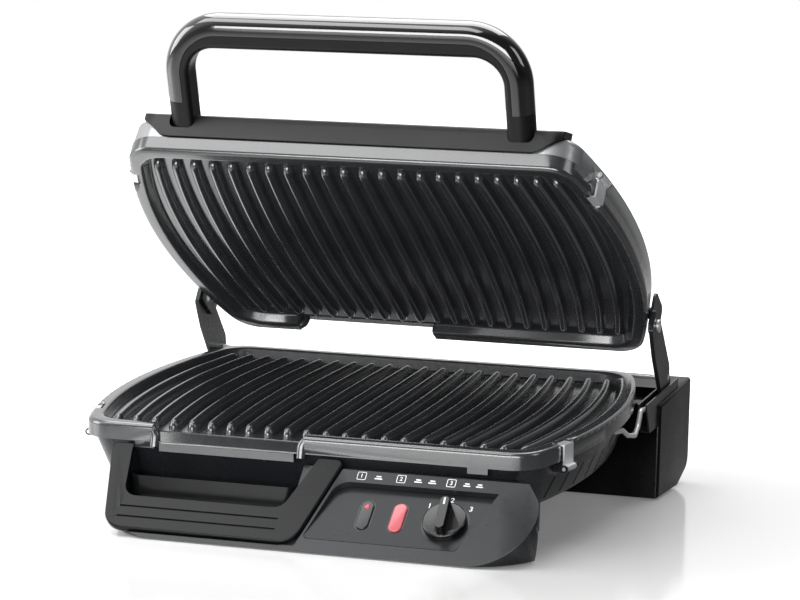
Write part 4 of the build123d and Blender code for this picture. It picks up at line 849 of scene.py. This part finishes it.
def bent_path(name, half, low, tall):
    """Open curve of four points, an arch standing on the y axis."""
    path = bpy.data.curves.new(name, "CURVE")
    path.dimensions = "3D"
    spline = path.splines.new("POLY")
    spline.points.add(3)
    arch_corners = ((half, low), (half, tall), (-half, tall), (-half, low))
    for point, (x, y) in zip(spline.points, arch_corners):
        point.co = (x * MM, y * MM, 0, 1)
    return path


middle = GRIP_SKIN / 2
grip_path = bent_path("grip_path", HANDLE_HALF - middle, GRIP_START, HANDLE_TALL - middle)
grip = baked("handle_skin", bar_tree, grip_path, HANDLE_PLANE,
             Corner=(HANDLE_CORNER - middle) * MM, Thickness=GRIP_SKIN * MM,
             Depth=HANDLE_DEEP * MM, Outer_Round=GRIP_ROUND * MM,
             Inner_Round=GRIP_INNER_ROUND * MM,
             Material=finishes["grip_gloss"])
shade_round(grip.data, GRIP_SMOOTH_ANGLE)
hand_over(grip, "grip_gloss", "lid", "handle_grip")
print("grip box:", [round(v, 4) for v in grip.dimensions], "faces:", len(grip.data.polygons))

# %% [markdown]
# The dull core is thicker across the top than at the legs, so it can't be swept. It is drawn as
# an outline and given depth instead. `arch_points` gives the outline of an arch with round
# shoulders, and `prism` turns any outline into a closed slab. The printed marks further down
# are made by the same function.

# %% Functions for outlines and slabs
ARC_STEPS = 20
FLAT_ENOUGH = 0.01


def arch_points(half, low, tall, corner):
    """Points of an arch outline from its right foot over the top to its left foot."""
    points = [(half, low)]
    for sign in (1, -1):
        for step in range(ARC_STEPS + 1):
            turn = math.radians(90 * step / ARC_STEPS)
            turn = turn if sign > 0 else math.radians(90) + turn
            x = sign * (half - corner) + corner * math.cos(turn)
            points.append((x, tall - corner + corner * math.sin(turn)))
    points.append((-half, low))
    return points


def prism(name, outline_points, plane, low, high, rounded=None):
    """Closed slab between two levels of a plane; rounded(x, y) is each rim's bevel weight."""
    bm = bmesh.new()
    bottom = [bm.verts.new((x * MM, y * MM, low * MM)) for x, y in outline_points]
    face = bm.faces.new(bottom)
    lifted = bmesh.ops.extrude_face_region(bm, geom=[face])
    raised = [item for item in lifted["geom"] if isinstance(item, bmesh.types.BMVert)]
    bmesh.ops.translate(bm, verts=raised, vec=(0, 0, (high - low) * MM))
    bmesh.ops.recalc_face_normals(bm, faces=bm.faces)
    if rounded:
        weights = bm.edges.layers.float.new("bevel_weight_edge")
        for edge in bm.edges:
            one, other = (corner.co / MM for corner in edge.verts)
            if abs(one.z - other.z) < FLAT_ENOUGH:
                edge[weights] = rounded(*((one + other) / 2).xy)
    mesh = bpy.data.meshes.new(name)
    bm.to_mesh(mesh)
    bm.free()
    mesh.transform(plane)
    return object_from(name, mesh)


# %% [markdown]
# The core's rims are rounded by a bevel with weights: full on the legs below the skin, so that
# they carry the skin's round on, less round the finger opening, and none where the core meets
# the skin. The same round on every edge would open a groove along that seam.

# %% Core of the handle
HANDLE_LEG = 17.0
HANDLE_BAR = 21.5
HANDLE_INNER_CORNER = 19.0
HANDLE_ROOT = 2.0
SEAM = 0.15
ON_EDGE = 0.1
CORE_ANGLE = 35
ROUND_PIECES = 6
SKIN_CORNER = HANDLE_CORNER - GRIP_SKIN


def rim_weight(x, y):
    """Full round on the legs below the skin, less on the finger opening, none elsewhere."""
    if abs(x) > HANDLE_HALF - ON_EDGE and y < GRIP_START:
        return 1.0
    between_legs = abs(x) < HANDLE_HALF - HANDLE_LEG + ON_EDGE
    if between_legs and 0 < y < HANDLE_TALL - HANDLE_BAR + ON_EDGE:
        return HANDLE_ROUND / GRIP_ROUND
    return 0.0


arch = arch_points(HANDLE_HALF - GRIP_SKIN - SEAM, GRIP_START - SEAM,
                   HANDLE_TALL - GRIP_SKIN - SEAM, SKIN_CORNER)
right_leg = [(HANDLE_HALF, -HANDLE_ROOT), (HANDLE_HALF, GRIP_START - SEAM)]
left_leg = [(-x, y) for x, y in right_leg[::-1]]
inner = arch_points(HANDLE_HALF - HANDLE_LEG, -HANDLE_ROOT, HANDLE_TALL - HANDLE_BAR,
                    HANDLE_INNER_CORNER)
core = prism("handle_core_dressed", right_leg + arch + left_leg + inner[::-1], HANDLE_PLANE,
             SEAM - HANDLE_DEEP / 2, HANDLE_DEEP / 2 - SEAM, rim_weight)
shade_round(core.data, CORE_ANGLE)
roll = core.modifiers.new("rounding", "BEVEL")
roll.width = GRIP_ROUND * MM
roll.segments = ROUND_PIECES
roll.use_clamp_overlap = False
roll.limit_method = "WEIGHT"
roll.harden_normals = True
hand_over(core, "handle_black", "lid", "handle_core")
print("core corners:", len(core.data.vertices))

# %% [markdown]
# ## Smooth stand-ins for the curved and cast pieces
# The pressed cover, the tub, the knob and the lamps are curved already and only need smooth
# shading. The block, the tray, the stand and the bar under the handle are moulded, and moulded
# edges are never sharp, so theirs are broken by half a millimetre to a millimetre. The pins,
# arms, clips and wires stand for bent and turned metal and are shaded smooth.

# %% Dressed solids
for node in ("lid_cover", "lower_tub", "thermostat_knob", "power_lamp", "ready_lamp"):
    smooth_copy(node)
for node, broken in (("rear_block", 0.8), ("drip_tray", 0.5), ("front_stand", 0.5),
                     ("handle_base", 1.0)):
    smooth_copy(node, bevel=broken)
for side in ("left", "right"):
    for stem in ("hinge_arm", "wire_stay", "lower_clip", "upper_clip", "float_pin", "lid_lug"):
        smooth_copy(f"{stem}_{side}")
smooth_copy("cross_rod")

# %% [markdown]
# ## Printed marks
# The dial is numbered, the knob has a pointer line and a narrow row of plain marks runs along
# the ledge above the panel. Print has almost no height. A picture could carry it, but a mesh
# stays crisp at any size, so each mark is a closed sliver that is sunk into the surface and
# stands a few hundredths of a millimetre proud of it.

# %% Functions for one mark
INK_SUNK = 0.15
INK_PROUD = 0.05
LETTER_FATTER = 0.012


def ink_outline(points, plane):
    """Closed sliver over an outline."""
    return prism("mark", points, plane, -INK_SUNK, INK_PROUD)


def ink_text(words, x, y, size, plane):
    """Text as a closed mesh lying on a plane, centred on a point."""
    text = bpy.data.curves.new("text", "FONT")
    text.body = words
    text.size = size * MM
    text.align_x, text.align_y = "CENTER", "CENTER"
    text.extrude = (INK_SUNK + INK_PROUD) / 2 * MM
    text.offset = LETTER_FATTER * size * MM
    carrier = object_from("text_carrier", text)
    bpy.context.view_layer.update()
    shown = carrier.evaluated_get(bpy.context.evaluated_depsgraph_get())
    mesh = bpy.data.meshes.new_from_object(shown)
    bpy.data.objects.remove(carrier)
    middle_level = (INK_PROUD - INK_SUNK) / 2
    mesh.transform(plane @ Matrix.Translation((x * MM, y * MM, middle_level * MM)))
    return object_from("mark", mesh)


# %% [markdown]
# A frame or a ring is a band between two outlines. One face with a hole in it is awkward to
# build, so a band is a row of small four-sided slivers. All marks of one colour then become one
# object, because they are one print on the real panel.

# %% Functions for bands and for joining marks
def ring_points(x, y, half_wide, half_tall, corner, steps=5):
    """Outline of a rounded rectangle."""
    points = []
    for quarter in range(4):
        start_turn = 90 * quarter
        sx = 1 if quarter in (0, 3) else -1
        sy = 1 if quarter in (0, 1) else -1
        for step in range(steps + 1):
            turn = math.radians(start_turn + 90 * step / steps)
            points.append((x + sx * (half_wide - corner) + corner * math.cos(turn),
                           y + sy * (half_tall - corner) + corner * math.sin(turn)))
    return points


def band(inside, outside, plane):
    """Closed band of small slivers between two outlines with the same number of points."""
    return [ink_outline([outside[k - 1], outside[k], inside[k], inside[k - 1]], plane)
            for k in range(len(outside))]


def joined(name, pieces, material, body):
    """One object made of many small pieces."""
    bm = bmesh.new()
    for piece in pieces:
        bm.from_mesh(piece.data)
        bpy.data.objects.remove(piece)
    bmesh.ops.remove_doubles(bm, verts=bm.verts, dist=MERGE)
    mesh = bpy.data.meshes.new(name)
    bm.to_mesh(mesh)
    bm.free()
    print(name, "pieces:", len(pieces))
    return hand_over(object_from(name, mesh), material, body)


# %% [markdown]
# The numbers 1 to 3 stand on a circle round the knob, and the ledge above carries three small
# boxes with the same numbers and short bars between them. The boxes are bands with rounded
# corners, the bars are rounded rectangles, and all of it becomes one object of one colour.

# %% Dial numbers and the row of marks
KNOB_X, KNOB_UP = 100.2, 20.6
NUMBER_RING = 18.1
NUMBER_TURN = 46.5
NUMBER_TALL = 5.2
LEDGE_UP = 48.6
BOX_XS = (40.5, 66.0, 98.0)
BOX_HALF = 2.9
BOX_LINE = 0.45
BOX_CORNER, BOX_INNER_CORNER = 0.9, 0.5
BOX_NUMBER_TALL = 4.0
BARS = ((51.5, 5.0), (77.0, 5.0), (86.0, 5.0), (108.0, 4.5), (116.0, 4.5))
BAR_HALF_TALL = 0.45
BAR_CORNER = 0.4
BAR_LOWER, BAR_UPPER = -1.2, 0.4

marks = []
for number, turn in zip("123", (-NUMBER_TURN, 0, NUMBER_TURN)):
    across = KNOB_X + NUMBER_RING * math.sin(math.radians(turn))
    above = KNOB_UP + NUMBER_RING * math.cos(math.radians(turn))
    marks.append(ink_text(number, across, above, NUMBER_TALL, PANEL_PLANE))
for number, across in zip("123", BOX_XS):
    rim = ring_points(across, LEDGE_UP, BOX_HALF, BOX_HALF, BOX_CORNER)
    inner_half = BOX_HALF - BOX_LINE
    hole = ring_points(across, LEDGE_UP, inner_half, inner_half, BOX_INNER_CORNER)
    marks += band(hole, rim, LEDGE_PLANE)
    marks.append(ink_text(number, across, LEDGE_UP, BOX_NUMBER_TALL, LEDGE_PLANE))
for across, long in BARS:
    for shift, half_long in ((BAR_LOWER, long / 2), (BAR_UPPER, long / 3)):
        bar = ring_points(across, LEDGE_UP + shift, half_long, BAR_HALF_TALL, BAR_CORNER)
        marks.append(ink_outline(bar, LEDGE_PLANE))
joined("panel_marks", marks, "print_white", "base")

# %% [markdown]
# Where a lamp or a knob sits in a moulding, a thin dark line runs round it. It is a gap on the
# real panel. Cutting the panel again would change the solid, so a flat dark band stands for it.

# %% Dark grooves round the two lamps and the knob
LENS_XS = (48.9, 70.0)
LENS_UP = 21.3
LENS_HALF_LONG = 11.0
LENS_HALF_WIDE = 4.2
LENS_STEPS = 5
GROOVE = 0.9
KNOB_GROOVE = 14.0
KNOB_STEPS = 16


def groove(x, y, half_wide, half_tall, steps):
    """Band of the groove's width round a shape whose ends are half circles."""
    tight = ring_points(x, y, half_wide, half_tall, half_wide, steps)
    wide = ring_points(x, y, half_wide + GROOVE, half_tall + GROOVE, half_wide + GROOVE, steps)
    return band(tight, wide, PANEL_PLANE)


grooves = []
for across in LENS_XS:
    grooves += groove(across, LENS_UP, LENS_HALF_WIDE, LENS_HALF_LONG, LENS_STEPS)
grooves += groove(KNOB_X, KNOB_UP, KNOB_GROOVE, KNOB_GROOVE, KNOB_STEPS)
joined("panel_grooves", grooves, "knob_black", "base")

# %% [markdown]
# The pointer shows which number is chosen, so it has to turn with the knob: it rides on the
# knob's body. It lies on top of the knob's grip bar, whose height over the panel adds up from
# the lift of the knob, half its skirt and the bar. It is turned by the knob's own few degrees.

# %% Pointer line on the knob
KNOB_LIFT, HALF_SKIRT, KNOB_BAR_TALL = 0.4, 2.0, 9.0
POINTER_LEVEL = KNOB_LIFT + HALF_SKIRT + KNOB_BAR_TALL
POINTER_TURN = 4.0
POINTER_UP = 8.4
POINTER_HALF_WIDE, POINTER_HALF_LONG = 0.55, 2.6
POINTER_CORNER = 0.5

pointer_plane = PANEL_PLANE @ Matrix.Translation((KNOB_X * MM, KNOB_UP * MM, POINTER_LEVEL * MM))
pointer_plane = pointer_plane @ Matrix.Rotation(math.radians(POINTER_TURN), 4, "Z")
pointer = ring_points(0, POINTER_UP, POINTER_HALF_WIDE, POINTER_HALF_LONG, POINTER_CORNER)
joined("knob_pointer", [ink_outline(pointer, pointer_plane)], "print_white", "knob")

# %% [markdown]
# The dark lens on the left has a small red dot at its upper end. It is a shallow glossy dome,
# which is a ball pressed flat, half sunk into the lens.

# %% Red dot of the switch lamp
DOT_RADIUS = 1.7
DOT_FLATNESS = 0.4
DOT_PLACE = (48.9, 27.6, 1.2)
DOT_SMOOTH_ANGLE = 60

dot = bpy.data.meshes.new("switch_dot")
bm = bmesh.new()
bmesh.ops.create_uvsphere(bm, u_segments=24, v_segments=12, radius=DOT_RADIUS * MM)
bmesh.ops.scale(bm, verts=bm.verts, vec=(1, 1, DOT_FLATNESS))
bm.to_mesh(dot)
bm.free()
dot.transform(PANEL_PLANE @ Matrix.Translation(Vector(DOT_PLACE) * MM))
shade_round(dot, DOT_SMOOTH_ANGLE)
hand_over(object_from("switch_dot", dot), "signal_red", "base")
print("dot faces:", len(dot.polygons))
